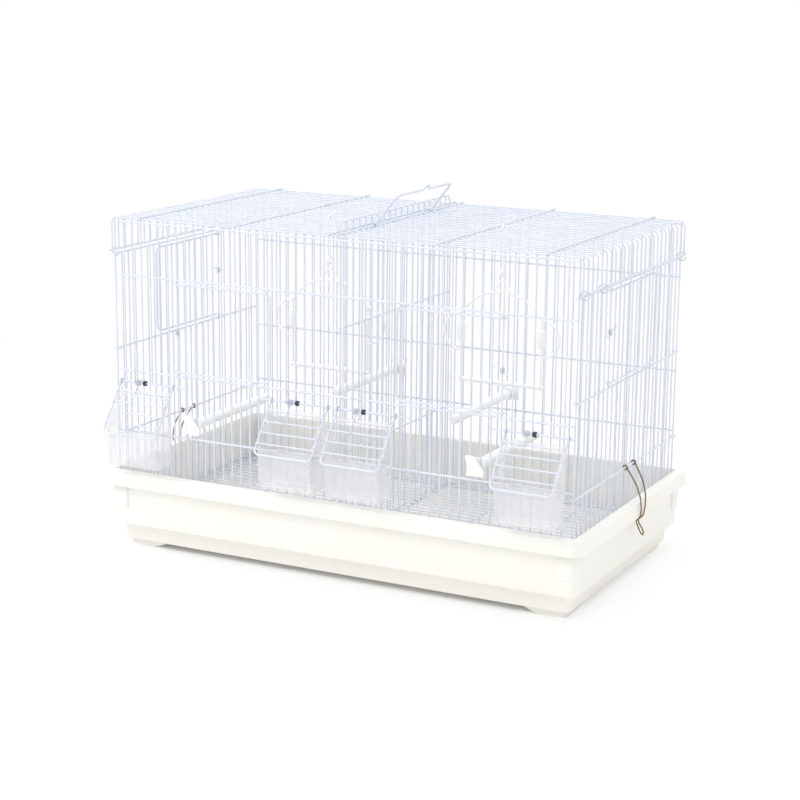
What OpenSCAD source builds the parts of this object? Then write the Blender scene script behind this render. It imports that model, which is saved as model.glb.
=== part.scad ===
// Canary breeding cage: a white wire cage in a plastic tray, with a lift-out
// divider, two front doors, two side doors, four clear feeders with sprung
// covers, four perches, two swings, a carrying handle and two tray hooks.
// Millimetres. X runs along the cage, Y from front to back, Z up; the origin
// is under the middle of the whole cage, on the table.

/* [Wire] */
// Diameter of the upright bars and the roof wires
bar_d = 1.8; // [1.4:0.1:2.2]
// Diameter of the rails that tie the bars together
rail_d = 2.4; // [2:0.1:2.8]
// How far two crossing wires sink into each other at a weld
weld = 0.3; // [0.2:0.05:0.4]
// Number of flat sides of a drawn wire
wire_sides = 8; // [8:8:8]
// Clearance between a wire and the eye, ring or cap that goes round it
eye_gap = 0.3; // [0.3:0.05:0.5]
// Clearance between two pieces that lie side by side
rest_gap = 0.3; // [0.2:0.05:0.5]
// Clearance round a piece that is pressed on or stands in a seat
seat_gap = 0.05; // [0.02:0.01:0.08]

/* [Cage plan] */
// Spacing of the upright bars along the front and back
front_pitch = 12; // [11:0.5:14]
// Bays taken by one feeder
feeder_bays = 7; // [7:1:9]
// Bays taken by one front door
door_bays = 10; // [8:1:12]
// Spacing of the upright bars along the sides, and of the roof wires
side_pitch = 13; // [12:0.5:15]
// Bays from front to back
side_bays = 24; // [22:1:28]
// First bay of a side door, counted from the corner nearest its hinge
side_door_first = 7; // [4:1:9]
// Bays taken by a side door
side_door_bays = 10; // [8:1:11]

/* [Cage heights] */
// Foot of the panels to their bottom rail, at the front and back
foot_rail_h = 5.5; // [5:0.5:8]
// Bottom rail at the front to the bottom rail at the sides
side_foot_step = 6; // [5:0.5:8]
// Foot of the front panel to the rail that the feeders hang on
feeder_rail_h = 111; // [108:1:125]
// Height of the feeder opening, up to the rail that its cover turns on
feeder_open_h = 59; // [52:1:64]
// Cover rail to the rail under the front doors
door_sill_step = 13.5; // [12:0.5:18]
// Height of the front door openings
door_open_h = 112; // [90:1:130]
// Rail over the front doors to the top rail
head_h = 62; // [50:1:80]
// Foot of a side panel to the rail that the tray hook hangs on
hook_rail_h = 104.5; // [100:0.5:107]
// Hook rail to the rail under the side door
side_sill_step = 103; // [90:1:120]
// Top rail of the front down to the top rail of the sides
side_drop = 38.4; // [34:0.1:44]

/* [Tray] */
// How far the rim reaches past the wire body at the two ends
rim_out_x = 17; // [16:0.5:24]
// How far the rim reaches past the wire body at the front and back
rim_out_y = 16.5; // [16.5:0.5:24]
// Height of the rim band
rim_h = 18; // [12:1:24]
// Rim to the tray's wall
rim_step = 10; // [9:0.5:10]
// Wall to the narrower skirt below it
skirt_step = 13.5; // [10:0.5:20]
// Thickness of the tray's plastic
tray_wall = 2.5; // [2:0.1:2.5]
// Height of a foot
foot_h = 7; // [4:0.5:12]
// Length of a foot along the tray
foot_l = 50; // [30:1:80]
// Height of the skirt
skirt_h = 21; // [14:1:30]
// Height of the wall between the skirt and the rim
wall_h = 48; // [44:1:54]
// Radius of the rim's corners
rim_corner = 16; // [14:1:24]
// Radius of the wall's corners under the rim
wall_corner = 7; // [6:0.5:7]
// Length of a corner pad under the rim
pad_l = 24; // [16:1:40]
// Height of a corner pad
pad_h = 28; // [16:1:40]
// How far a corner pad stands out of the wall
pad_out = 2; // [1:0.5:4]

/* [Floor grate] */
// Number of cross wires under the grate
grate_supports = 7; // [5:1:9]
// Spacing of the grate's long wires
grate_pitch = 12; // [10:0.5:15]

/* [Roof] */
// Gap between the centres of the two wires that guide the divider
slot_w = 10; // [10:0.5:12]
// Spacing of the roof's cross wires
cross_pitch = 126; // [100:1:130]
// Where the roof's bent ends stand outside the side bars
roof_out = 4; // [4:0.5:5]
// Bend radius of the roof wires
roof_bend = 7; // [5:0.5:12]
// Side top rail up to the roof's end rail
end_rail_step = 4; // [4:0.5:6]
// Length of a cross wire that stands out behind the cage
cross_tail = 8; // [6:0.5:12]
// Length of a cap on a cross wire's tail
cap_l = 6; // [4:0.5:8]
// Diameter of a cap
cap_d = 5; // [4.5:0.1:7]
// Wire of a ring clip
clip_d = 1.8; // [1.2:0.1:2]
// Bay at which the middle ring clips sit
clip_bay = 5; // [3:1:9]

/* [Doors] */
// How far a door laps past the bar that it shuts on
door_lap = 4.5; // [3.5:0.5:6]
// Gap between a door's rail and the panel's rail, from centre to centre
door_rail_gap = 5; // [4:0.5:7]
// Radius of a door's outer corners
door_corner = 8; // [5:0.5:10]
// Wire of the door springs
spring_d = 0.9; // [0.7:0.1:1]
// Coils of a door or cover spring
spring_turns = 4; // [3:1:5]
// Advance of a spring per coil
spring_pitch = 1.5; // [1.4:0.1:2]
// Front springs below, and side springs above, the middle of their doors
spring_shift = 5; // [0:1:10]

/* [Feeders] */
// Clearance between a feeder cup and each leg of its cover
cup_side_gap = 0.8; // [0.5:0.1:1]
// Length of a cover from its hinge to its front bar
cover_len = 67; // [60:1:70]
// Slope of a shut cover below the level
cover_slope = 52.8; // [48:0.2:58]
// Spacing of a cover's cross wires
cover_pitch = 13.5; // [12:0.5:14]
// Radius of a cover's front corners
cover_corner = 6; // [6:1:8]
// Width of a feeder cup
cup_w = 68; // [63:1:68]
// Wall of a feeder cup
cup_wall = 1.6; // [1.2:0.1:2]
// How far a cup hangs below its rail
cup_drop = 35.5; // [30:0.5:38]
// Depth of a cup at its bottom, from the bars to its front
cup_depth = 36; // [30:1:38]
// Corner radius of a cup's bottom
cup_corner = 6; // [4:0.5:8]
// Width of a cup's hanging lug
lug_w = 6; // [4:0.5:7]
// Diameter of the collar beside a cover spring
collar_d = 6; // [5:0.5:7]
// Length of that collar
collar_l = 4; // [3:0.5:6]

/* [Divider] */
// Spacing of the divider's bars
divider_pitch = 14.6; // [13:0.1:15]
// Number of the divider's bars
divider_bars = 20; // [18:1:20]
// Wire of the divider's rails
divider_rail_d = 2; // [1.8:0.1:2.2]
// How far the divider stands above the roof's cross wires
divider_top = 11; // [8:0.5:20]
// Radius of the divider's upper corners
divider_corner = 9; // [6:0.5:16]

/* [Carrying handle] */
// Wire of the handle
handle_d = 3; // [2.6:0.1:3.2]
// Length of the handle between the centres of its legs
handle_w = 139; // [139:1:139]
// Height of the handle above its hinge wire
handle_h = 45; // [38:1:60]
// Lean of the handle at rest
handle_lean = 38.7; // [30:0.1:50]
// Radius of the handle's corners
handle_corner = 9; // [6:0.5:14]
// Height of the crook in the middle of the handle's top
crook_h = 6; // [4:0.5:8]

/* [Perches] */
// Diameter of a perch
perch_d = 10; // [8:0.5:12]
// Length of a perch from the panel that it is clipped to
perch_l = 165; // [120:5:180]
// Side of the square plate outside the bars
cap_plate = 24; // [20:1:26]
// Thickness of the plates that grip the bars
plate_t = 1.5; // [1.2:0.1:1.6]
// Wall of a perch's socket
socket_wall = 2; // [1.5:0.5:3]
// Length of a perch's socket
socket_l = 10; // [8:1:14]
// Bay in which the outer left perch sits
perch_bay_1 = 8; // [8:1:9]
// Bay of the inner left perch
perch_bay_2 = 17; // [17:1:17]
// Bay of the inner right perch
perch_bay_3 = 30; // [30:1:30]
// Bay of the outer right perch
perch_bay_4 = 38; // [36:1:39]
// Height of the outer left perch above the panel's foot
perch_h_1 = 126.5; // [125:0.5:150]
// Height of the inner left perch
perch_h_2 = 149.5; // [130:0.5:152]
// Height of the inner right perch
perch_h_3 = 134.5; // [130:0.5:152]
// Height of the outer right perch
perch_h_4 = 125.5; // [125:0.5:150]

/* [Swings] */
// Length of a swing's bar
swing_w = 100; // [90:1:104]
// Diameter of a swing's bar
swing_bar_d = 6; // [5:0.5:8]
// Roof wire down to the swing's bar
swing_drop = 179; // [160:1:185]
// Roof wire down to the foot of the swing's arch
arch_drop = 101; // [95:1:110]
// Height of the arch
arch_h = 28; // [22:1:32]
// Radius of the side loops
loop_r = 22; // [18:0.5:22]
// Section of the swing's plastic frame
swing_t = 3; // [2.4:0.1:3.4]
// Diameter of a bead
bead_d = 10; // [8:0.5:12]
// Length of a bead
bead_l = 22; // [16:1:28]
// Left swing's middle, left of the cage's middle
swing_left_x = 77; // [77:1:90]
// Right swing's middle, right of the cage's middle
swing_right_x = 132; // [90:1:160]
// Roof wire that the left swing hangs on
swing_left_bay = 10; // [9:1:15]
// Roof wire that the right swing hangs on
swing_right_bay = 12; // [9:1:15]

/* [Tray hooks] */
// Wire of a tray hook
hook_d = 1.8; // [1.4:0.1:2]
// Spacing of a hook's two legs
hook_w = 8; // [6:0.5:8.5]
// Bay of the side panel in which a hook turns
hook_bay = 12; // [8:1:15]
// Reach of the hook's finger loop below the rim
hook_tail = 20; // [14:1:30]
// How far the hook's catch reaches under the rim
hook_catch = 5; // [3:0.5:6]

/* [Hidden] */
FLAT = cos(180 / wire_sides);
ROUND = 32;
WHITE = "aliceblue";
STEEL = "silver";
PLASTIC = "ivory";
DARK = "midnightblue";
BRASS = "darkgoldenrod";
CLEAR = "lightcyan";

// centre distance of two crossing wires that are welded together
function welded(a, b) = (a + b) / 2 * FLAT - weld;
// centre distance of two crossing wires that only pass each other
function passing(a, b) = (a + b) / 2 * FLAT + rest_gap;
// mean radius of an eye of wire b that turns on wire a
function eye_r(a, b) = (a + b) / 2 + eye_gap;

front_bays = 4 * feeder_bays + 2 * door_bays;
body_l = front_bays * front_pitch;
body_d = side_bays * side_pitch;
side_x = body_l / 2;
rail_off = welded(bar_d, rail_d);

cover_w = cup_w + rail_d + 2 * cup_side_gap;
cover_reach = rail_off + cover_len * cos(cover_slope) + rail_d / 2 * FLAT;
front_y = (cover_reach - body_d - rim_out_y) / 2;
back_y = front_y + body_d;
mid_y = (front_y + back_y) / 2;

tray_top = foot_h + skirt_h + wall_h + rim_h;
rim_z = tray_top - rim_h;
skirt_z = foot_h + skirt_h;
ledge_z = skirt_z + tray_wall;
rim_hx = side_x + rim_out_x;
rim_hy = body_d / 2 + rim_out_y;

foot_rail_z = ledge_z + foot_rail_h;
feeder_z = ledge_z + feeder_rail_h;
cover_z = feeder_z + feeder_open_h;
sill_z = cover_z + door_sill_step;
head_z = sill_z + door_open_h;
top_z = head_z + head_h;
side_foot_z = foot_rail_z + side_foot_step;
hook_z = ledge_z + hook_rail_h;
side_sill_z = hook_z + side_sill_step;
side_top_z = top_z - side_drop;
bar_top_z = top_z + rail_d / 2 + bar_d;
roof_z = bar_top_z + bar_d / 2 * FLAT;
cross_z = roof_z + rail_off;
end_rail_z = side_top_z + end_rail_step;
roof_x = side_x + roof_out;
slot_x = slot_w / 2;

grate_support_z = foot_rail_z + rail_d * FLAT + seat_gap;
grate_z = grate_support_z + rail_off;
grate_top_z = grate_z + bar_d / 2 * FLAT;

feeder_first = [0, feeder_bays + door_bays, front_bays / 2, front_bays - feeder_bays];
door_first = feeder_bays;
handle_x = slot_x;
handle_foot = handle_w / 2;

perch_bays = [perch_bay_1, perch_bay_2, perch_bay_3, perch_bay_4];
perch_heights = [perch_h_1, perch_h_2, perch_h_3, perch_h_4];

function bar_x(i) = -side_x + i * front_pitch;
function bar_y(i) = front_y + i * side_pitch;
function feeder_x(n) = bar_x(feeder_first[n - 1] + feeder_bays / 2);
function inside(i, first, bays) = i > first && i < first + bays;
// a feeder's opening leaves one bar standing at each side of the feeder's width
function in_feeder(i) =
    len([for (f = feeder_first) if (inside(i, f + 1, feeder_bays - 2)) 1]) > 0;
function in_door(i) = inside(i, door_first, door_bays)
    || inside(i, front_bays - door_first - door_bays, door_bays);

// ---- wires ----------------------------------------------------------------

module wire_x(x0, x1, y, z, d, sides = wire_sides)
    translate([x0, y, z]) rotate([0, 90, 0]) rotate(180 / sides)
        cylinder(h = x1 - x0, d = d, $fn = sides);

module wire_y(y0, y1, x, z, d, sides = wire_sides)
    translate([x, y1, z]) rotate([90, 0, 0]) rotate(180 / sides)
        cylinder(h = y1 - y0, d = d, $fn = sides);

module wire_z(z0, z1, x, y, d, sides = wire_sides)
    translate([x, y, z0]) rotate(180 / sides)
        cylinder(h = z1 - z0, d = d, $fn = sides);

// a straight wire between two points, with both ends made longer by `extra`
module wire_between(a, b, d, extra_a = 0, extra_b = 0, sides = wire_sides) {
    run = b - a;
    length = norm(run);
    translate(a)
        rotate([0, acos(run[2] / length), atan2(run[1], run[0])])
            translate([0, 0, -extra_a]) rotate(180 / sides)
                cylinder(h = length + extra_a + extra_b, d = d, $fn = sides);
}

// a bent wire through a list of points; each bend of `turn` degrees is filled
// on its outside
module bent_wire(points, d, sides = wire_sides, turn = 24) {
    last = len(points) - 2;
    fill = d / 2 * tan(turn / 2);
    for (i = [0 : last])
        wire_between(points[i], points[i + 1], d,
            i == 0 ? 0 : fill, i == last ? 0 : fill, sides);
}

// a round corner of a bent wire in steps of 22.5 degrees; the corner lies at
// `corner`, and the wire comes in against `u` and goes out along `v`
function bend_at(corner, u, v, r) =
    [for (k = [0 : 4]) corner + r * ((1 - sin(22.5 * k)) * u + (1 - cos(22.5 * k)) * v)];

// a wire eye round the Z axis
module eye(ring, d)
    rotate_extrude($fn = ROUND) translate([ring, 0]) circle(d = d, $fn = ROUND);

module eye_y(ring, d) rotate([90, 0, 0]) eye(ring, d);
module eye_x(ring, d) rotate([0, 90, 0]) eye(ring, d);

// a thin round tube swept through points, for the springs
function unit(v) = v / norm(v);
function tangent(p, i) =
    unit(p[min(i + 1, len(p) - 1)] - p[max(i - 1, 0)]);
function tube_points(p, r, up, n) = [
    for (i = [0 : len(p) - 1])
        let (t = tangent(p, i), side = unit(cross(t, up)), top = cross(side, t))
        for (j = [0 : n - 1])
            p[i] + r * (cos(360 * j / n) * side + sin(360 * j / n) * top)];
function tube_faces(rings, n) = concat(
    [for (i = [0 : rings - 2], j = [0 : n - 1])
        [i * n + j, i * n + (j + 1) % n, (i + 1) * n + j]],
    [for (i = [0 : rings - 2], j = [0 : n - 1])
        [i * n + (j + 1) % n, (i + 1) * n + (j + 1) % n, (i + 1) * n + j]],
    [for (j = [1 : n - 2]) [0, j + 1, j]],
    [for (j = [1 : n - 2]) let (b = (rings - 1) * n) [b, b + j, b + j + 1]]);
module tube(p, d, up)
    polyhedron(tube_points(p, d / 2, up, 6), tube_faces(len(p), 6));

// a coil round the Z axis, from angle a0 to a1 in steps of 45 degrees
function coil(ring, a0, a1) =
    let (steps = round((a1 - a0) / 45))
    [for (k = [0 : steps])
        let (a = a0 + (a1 - a0) * k / steps)
        [ring * cos(a), ring * sin(a), (a - a0) / 360 * spring_pitch]];

// least gap between the coils of a spring, taken between points of its centre
// line that lie at least five steps apart
function self_gap(p, d) = min([for (i = [0 : len(p) - 6], j = [i + 5 : len(p) - 1])
    norm(p[i] - p[j])]) - d;

// ---- tray and floor -------------------------------------------------------

module plate(hx, hy, r) {
    for (sx = [-1, 1], sy = [-1, 1])
        translate([sx * (hx - r), sy * (hy - r)]) circle(r = r, $fn = 48);
    square([2 * hx, 2 * (hy - r)], center = true);
    square([2 * (hx - r), 2 * hy], center = true);
}

// one level of the tray: the rim's outline drawn in by `inset`
module level(z, h, inset, corner)
    translate([0, mid_y, z]) linear_extrude(h)
        plate(rim_hx - inset, rim_hy - inset, corner);

module tray() color(PLASTIC) {
    wall_in = rim_step + tray_wall;
    skirt_in = rim_step + skirt_step;
    difference() {
        union() {
            level(rim_z, rim_h, 0, rim_corner);
            level(skirt_z, wall_h + rim_h / 2, rim_step, wall_corner);
            level(foot_h, skirt_h + 1, skirt_in, wall_corner - tray_wall);
            for (sx = [-1, 1], sy = [-1, 1]) tray_corner(sx, sy);
        }
        difference() {
            level(rim_z - 1, rim_h - tray_wall + 1, tray_wall, rim_corner - tray_wall);
            level(rim_z - 2, rim_h + 4, rim_step, wall_corner);
        }
        level(ledge_z, wall_h + rim_h + 1, wall_in, wall_corner - tray_wall);
        level(foot_h + tray_wall, skirt_h + 1, skirt_in + tray_wall,
            wall_corner - 2 * tray_wall);
    }
}

// the pad under the rim and the foot at one corner of the tray
module tray_corner(sx, sy) {
    skirt_in = rim_step + skirt_step;
    foot_in = skirt_in + 1;
    intersection() {
        level(rim_z - pad_h, pad_h + 1, rim_step - pad_out, wall_corner + pad_out);
        translate([sx * (rim_hx - rim_step - pad_l / 2 + pad_out),
                mid_y + sy * (rim_hy - rim_step - pad_l / 2 + pad_out), rim_z])
            cube([pad_l, pad_l, 3 * pad_h], center = true);
    }
    intersection() {
        level(0, foot_h + 1, foot_in, wall_corner);
        translate([sx * (rim_hx - foot_in - foot_l / 2),
                mid_y + sy * (rim_hy - foot_in - foot_l / 2), 0])
            cube([foot_l, foot_l, 4 * foot_h], center = true);
    }
}

module floor_grate() color(WHITE) {
    reach_x = side_x - bar_d - eye_gap;
    reach_y = body_d / 2 - bar_d / 2 - rest_gap;
    supports = grate_supports - 1;
    span = 2 * reach_x - front_pitch;
    for (i = [0 : supports])
        wire_y(mid_y - reach_y, mid_y + reach_y,
            -span / 2 + span * i / supports, grate_support_z, rail_d);
    count = floor((body_d - 2 * rail_off - 2 * rail_d) / grate_pitch);
    for (i = [0 : count])
        wire_x(-reach_x, reach_x, mid_y + (i - count / 2) * grate_pitch, grate_z, bar_d);
}

// ---- panels ---------------------------------------------------------------

// one bar of the front, left out where a feeder or a door opens
module front_bar(i) {
    round_bar = i == door_first || i == front_bays - door_first;
    sides = round_bar ? ROUND : wire_sides;
    gap = in_feeder(i) ? [feeder_z, cover_z] : in_door(i) ? [sill_z, head_z] : [0, 0];
    if (gap[0] == 0) wire_z(ledge_z, bar_top_z, bar_x(i), front_y, bar_d, sides);
    else {
        wire_z(ledge_z, gap[0] + rail_d / 2, bar_x(i), front_y, bar_d);
        wire_z(gap[1] - rail_d / 2, bar_top_z, bar_x(i), front_y, bar_d);
    }
}

module long_rail(y, z) wire_x(-side_x - bar_d / 2, side_x + bar_d / 2, y, z, rail_d);

// the round rail that two neighbouring covers, or one, turn on
module cover_rail(from_bay, to_bay)
    wire_x(max(bar_x(from_bay), -side_x) - bar_d / 2, min(bar_x(to_bay), side_x) + bar_d / 2,
        front_y - rail_off, cover_z, rail_d, ROUND);

module front_panel() color(WHITE) {
    for (i = [0 : front_bays]) front_bar(i);
    long_rail(front_y + rail_off, foot_rail_z);
    for (z = [feeder_z, sill_z, head_z, top_z]) long_rail(front_y - rail_off, z);
    half = front_bays / 2;
    cover_rail(0, feeder_bays + 1);
    cover_rail(half - feeder_bays - 1, half + feeder_bays + 1);
    cover_rail(front_bays - feeder_bays - 1, front_bays);
}

module back_panel() color(WHITE) {
    for (i = [0 : front_bays]) wire_z(ledge_z, bar_top_z, bar_x(i), back_y, bar_d);
    long_rail(back_y - rail_off, foot_rail_z);
    for (z = [feeder_z, sill_z, head_z, top_z]) long_rail(back_y + rail_off, z);
}

// places a side's pieces: X out of the cage and Y from the corner by its hinge
module at_side(turn)
    translate([0, mid_y, 0]) rotate(turn) translate([side_x, -body_d / 2, 0]) children();

// a rail of a side panel, with an eye round each corner post
module side_rail(z, sides = wire_sides) {
    ring = eye_r(bar_d, rail_d);
    start = sqrt(ring * ring - rail_off * rail_off);
    wire_y(start, body_d - start, rail_off, z, rail_d, sides);
    for (y = [0, body_d]) translate([0, y, z]) eye(ring, rail_d);
}

module side_panel() {
    side_bar_top = side_top_z + rail_d / 2;
    for (i = [1 : side_bays - 1]) {
        y = i * side_pitch;
        hinge = i == side_door_first;
        if (inside(i, side_door_first, side_door_bays))
            wire_z(ledge_z, side_sill_z + rail_d / 2, 0, y, bar_d);
        else wire_z(ledge_z, side_bar_top, 0, y, bar_d, hinge ? ROUND : wire_sides);
    }
    for (z = [side_foot_z, side_sill_z, side_top_z]) side_rail(z);
    side_rail(hook_z, ROUND);
}

module left_side_panel() color(WHITE) at_side(180) side_panel();
module right_side_panel() color(WHITE) at_side(0) side_panel();

// ---- roof -----------------------------------------------------------------

// one half of a roof wire: out from the slot, over the bend and down
module roof_half(inner, y) {
    cut = roof_bend * 0.6;
    bent_wire([[inner, y, roof_z], [roof_x - cut, y, roof_z], [roof_x, y, roof_z - cut],
        [roof_x, y, end_rail_z - rail_d / 2]], bar_d, turn = 45);
}

module roof_wire(i) {
    y = bar_y(i);
    whole = i == 0 || i == side_bays;
    inner = whole ? -1 : slot_x - rail_d / 2 * FLAT;
    roof_half(inner, y);
    mirror([1, 0, 0]) roof_half(inner, y);
}

module roof_panel() color(WHITE) {
    for (i = [0 : side_bays]) roof_wire(i);
    for (x = [-2 * cross_pitch, -cross_pitch, -slot_x, slot_x, cross_pitch, 2 * cross_pitch])
        wire_y(front_y - rail_d, back_y + cross_tail, x, cross_z, rail_d,
            x == handle_x ? ROUND : wire_sides);
    for (sx = [-1, 1])
        wire_y(front_y - rail_d, back_y + rail_d, sx * (roof_x + rail_off), end_rail_z, rail_d);
}

// rings that tie the roof's end rails to the side panels' top rails
module ring_clips() color(WHITE) {
    inner = norm([roof_out, end_rail_step]) / 2 + rail_d / 2 + seat_gap;
    for (turn = [0, 180], y = [side_pitch / 2, (clip_bay - 0.5) * side_pitch, body_d - side_pitch / 2])
        at_side(turn)
            translate([rail_off + roof_out / 2, y, side_top_z + end_rail_step / 2])
                eye_y(inner + clip_d / 2, clip_d);
}

// caps on the cross wires' tails behind the cage
module roof_wire_caps() color(PLASTIC)
    for (x = [-2 * cross_pitch, -cross_pitch, -slot_x, slot_x, cross_pitch, 2 * cross_pitch])
        translate([x, back_y + cross_tail + seat_gap + 1, cross_z]) rotate([90, 0, 0])
            difference() {
                cylinder(h = cap_l, d = cap_d, $fn = ROUND);
                translate([0, 0, 1]) cylinder(h = cap_l, d = rail_d + 2 * seat_gap, $fn = ROUND);
            }

// ---- divider and handle ---------------------------------------------------

// the divider stands off the middle of its slot, clear of the handle's eyes
eye_out = eye_r(rail_d, handle_d) + handle_d / 2;
divider_x = slot_x - eye_out - rest_gap - bar_d / 2 * FLAT;

module divider() color(WHITE) {
    rail_x = divider_x - welded(bar_d, divider_rail_d);
    half = (divider_bars - 1) * divider_pitch / 2;
    low_z = grate_top_z + rest_gap;
    low_rail_z = low_z + divider_rail_d;
    high_z = cross_z + divider_top;
    y0 = mid_y - half;
    y1 = mid_y + half;
    for (i = [0 : divider_bars - 1]) {
        edge = i == 0 || i == divider_bars - 1;
        wire_z(low_z, edge ? high_z - divider_corner : high_z, divider_x,
            y0 + i * divider_pitch, bar_d);
    }
    along = [0, 1, 0];
    down = [0, 0, -1];
    bent_wire(concat([[rail_x, y0, high_z - 2 * divider_corner]],
        bend_at([rail_x, y0, high_z], down, along, divider_corner),
        bend_at([rail_x, y1, high_z], -along, down, divider_corner),
        [[rail_x, y1, high_z - 2 * divider_corner]]), divider_rail_d);
    for (z = [low_rail_z, feeder_z, head_z - door_corner * 5])
        wire_y(y0 - bar_d / 2, y1 + bar_d / 2, rail_x, z, divider_rail_d);
}

module carry_handle() color(WHITE) {
    ring = eye_r(rail_d, handle_d);
    foot = handle_foot;
    cut = handle_corner * 0.6;
    tip = handle_d * 0.7;
    translate([handle_x, mid_y, cross_z]) rotate([0, handle_lean, 0]) {
        for (y = [-foot, foot]) translate([0, y, 0]) eye_y(ring, handle_d * 1.02);
        bent_wire([[0, -foot, ring], [0, -foot, handle_h - cut], [0, cut - foot, handle_h],
            [0, -tip - crook_h, handle_h], [0, -tip, handle_h + crook_h],
            [0, tip, handle_h + crook_h], [0, tip + crook_h, handle_h],
            [0, foot - cut, handle_h], [0, foot, handle_h - cut], [0, foot, ring]],
            handle_d, turn = 45);
    }
}

// ---- doors ----------------------------------------------------------------

// a door that turns on a bar at the origin and shuts along +X; outside is -Y
module door(bays, pitch, z0, z1) {
    ring = eye_r(bar_d, rail_d);
    frame_y = -passing(bar_d, rail_d);
    start = sqrt(ring * ring - frame_y * frame_y);
    free_x = bays * pitch + door_lap;
    low = z0 + door_rail_gap;
    high = z1 - door_rail_gap;
    out = [1, 0, 0];
    up = [0, 0, 1];
    bent_wire(concat([[start, frame_y, low]],
        bend_at([free_x, frame_y, low], -out, up, door_corner),
        bend_at([free_x, frame_y, high], -up, -out, door_corner),
        [[start, frame_y, high]]), rail_d);
    for (z = [low, high]) translate([0, 0, z]) eye(ring, rail_d);
    for (i = [1 : bays - 1])
        wire_z(low - rail_d / 2, high + rail_d / 2, i * pitch,
            frame_y + rail_off, bar_d);
}

// a torsion spring on the same bar: one arm on the panel, one on the door
function door_spring_line(pitch) =
    let (ring = passing(bar_d, rail_d) - rail_off + bar_d / 2 * FLAT + spring_d / 2 + rest_gap,
        top = spring_turns * spring_pitch, arm = pitch + bar_d)
    concat([[-arm, -ring, 0], [-arm / 3, -ring, 0]],
        coil(ring, -90, 360 * spring_turns - 90),
        [[arm / 3, -ring, top], [arm, -ring, top]]);
echo(door_spring_gap = self_gap(door_spring_line(front_pitch), spring_d));

module door_spring(pitch, z)
    translate([0, 0, z - spring_turns * spring_pitch / 2])
        tube(door_spring_line(pitch), spring_d, [0, 0, 1]);

module at_front_door(side) {
    if (side < 0) translate([bar_x(door_first), front_y, 0]) children();
    else translate([bar_x(front_bays - door_first), front_y, 0]) mirror([1, 0, 0]) children();
}

module front_door(side) at_front_door(side) door(door_bays, front_pitch, sill_z, head_z);
module front_door_left() color(WHITE) front_door(-1);
module front_door_right() color(WHITE) front_door(1);

module front_spring(side)
    at_front_door(side) door_spring(front_pitch, (sill_z + head_z) / 2 - spring_shift);
module front_door_spring_left() color(STEEL) front_spring(-1);
module front_door_spring_right() color(STEEL) front_spring(1);

module at_side_door(turn)
    at_side(turn) translate([0, side_door_first * side_pitch, 0]) rotate(90) children();

module side_door(turn)
    at_side_door(turn) door(side_door_bays, side_pitch, side_sill_z, side_top_z);
module side_door_left() color(WHITE) side_door(180);
module side_door_right() color(WHITE) side_door(0);

module side_spring(turn)
    at_side_door(turn) door_spring(side_pitch, (side_sill_z + side_top_z) / 2 + spring_shift);
module side_door_spring_left() color(STEEL) side_spring(180);
module side_door_spring_right() color(STEEL) side_spring(0);

// ---- feeders --------------------------------------------------------------

// puts the cover's plane level: X along the hinge, -Y down the slope, Z out
module on_cover(n)
    translate([feeder_x(n), front_y - rail_off, cover_z]) rotate([cover_slope, 0, 0])
        children();

module feeder_cover(n) color(WHITE) on_cover(n) {
    ring = eye_r(rail_d, rail_d);
    leg = cover_w / 2;
    out = [0, -1, 0];
    right = [1, 0, 0];
    bent_wire(concat([[-leg, -ring, 0]],
        bend_at([-leg, -cover_len, 0], -out, right, cover_corner),
        bend_at([leg, -cover_len, 0], -right, -out, cover_corner),
        [[leg, -ring, 0]]), rail_d);
    for (x = [-leg, leg]) translate([x, 0, 0]) eye_x(ring, rail_d);
    for (y = [cover_pitch : cover_pitch : cover_len - cover_pitch / 2])
        wire_x(-leg - bar_d / 2, leg + bar_d / 2, -y, rail_off, bar_d);
}

// a point beside the cover in the cup's side view: out of the cage, and up
function by_cover(s, n) = [
    rail_off + s * cos(cover_slope) + n * sin(cover_slope),
    cover_z - s * sin(cover_slope) + n * cos(cover_slope)];

function arc(centre, r, a0, a1) =
    [for (k = [0 : 6]) let (a = a0 + (a1 - a0) * k / 6) centre + r * [cos(a), sin(a)]];

// turns a side view (out, up) into a solid of width w, centred on feeder n
module side_view(n, w, x = 0)
    translate([feeder_x(n) + x - w / 2, front_y, 0])
        rotate([90, 0, -90]) mirror([0, 0, 1]) linear_extrude(w) children();

cheek_n = rail_off - bar_d / 2 * FLAT - rest_gap;
cup_back = rail_off + rail_d / 2 * FLAT + 1.5 * rest_gap;
cup_low = feeder_z - cup_drop;
cup_sill = feeder_z + rail_d / 2 * FLAT + rest_gap + cup_wall;
cup_first = cover_pitch * 0.65;
// the cup's lip stays inside the bends of the cover's front corners
bend_in = cover_corner - rail_d / 2 - rest_gap;
past_bend = max(0, cup_w / 2 - (cover_w / 2 - cover_corner));
cup_last = cover_len - cover_corner - rail_d / 2
    + sqrt(bend_in * bend_in - past_bend * past_bend);

module cup_outline() {
    front = cup_depth;
    polygon(concat(
        [by_cover(cup_first, cheek_n), [cup_back, by_cover(cup_first, cheek_n)[1]]],
        arc([cup_back + cup_corner, cup_low + cup_corner], cup_corner, 180, 270),
        arc([front - cup_corner, cup_low + cup_corner], cup_corner, 270, 360),
        [by_cover(cup_last, cheek_n)]));
}

module cup_hollow() {
    front = cup_depth - cup_wall;
    inner = cup_corner - cup_wall;
    lip = by_cover(cup_last, cheek_n);
    polygon(concat(
        [[lip[0] - cup_wall, lip[1] + cup_corner], [-1, by_cover(0, cup_corner)[1]],
            [-1, cup_sill], [cup_back + cup_wall, cup_sill]],
        arc([cup_back + cup_wall + inner, cup_low + cup_corner], inner, 180, 270),
        arc([front - inner, cup_low + cup_corner], inner, 270, 360)));
}

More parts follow.
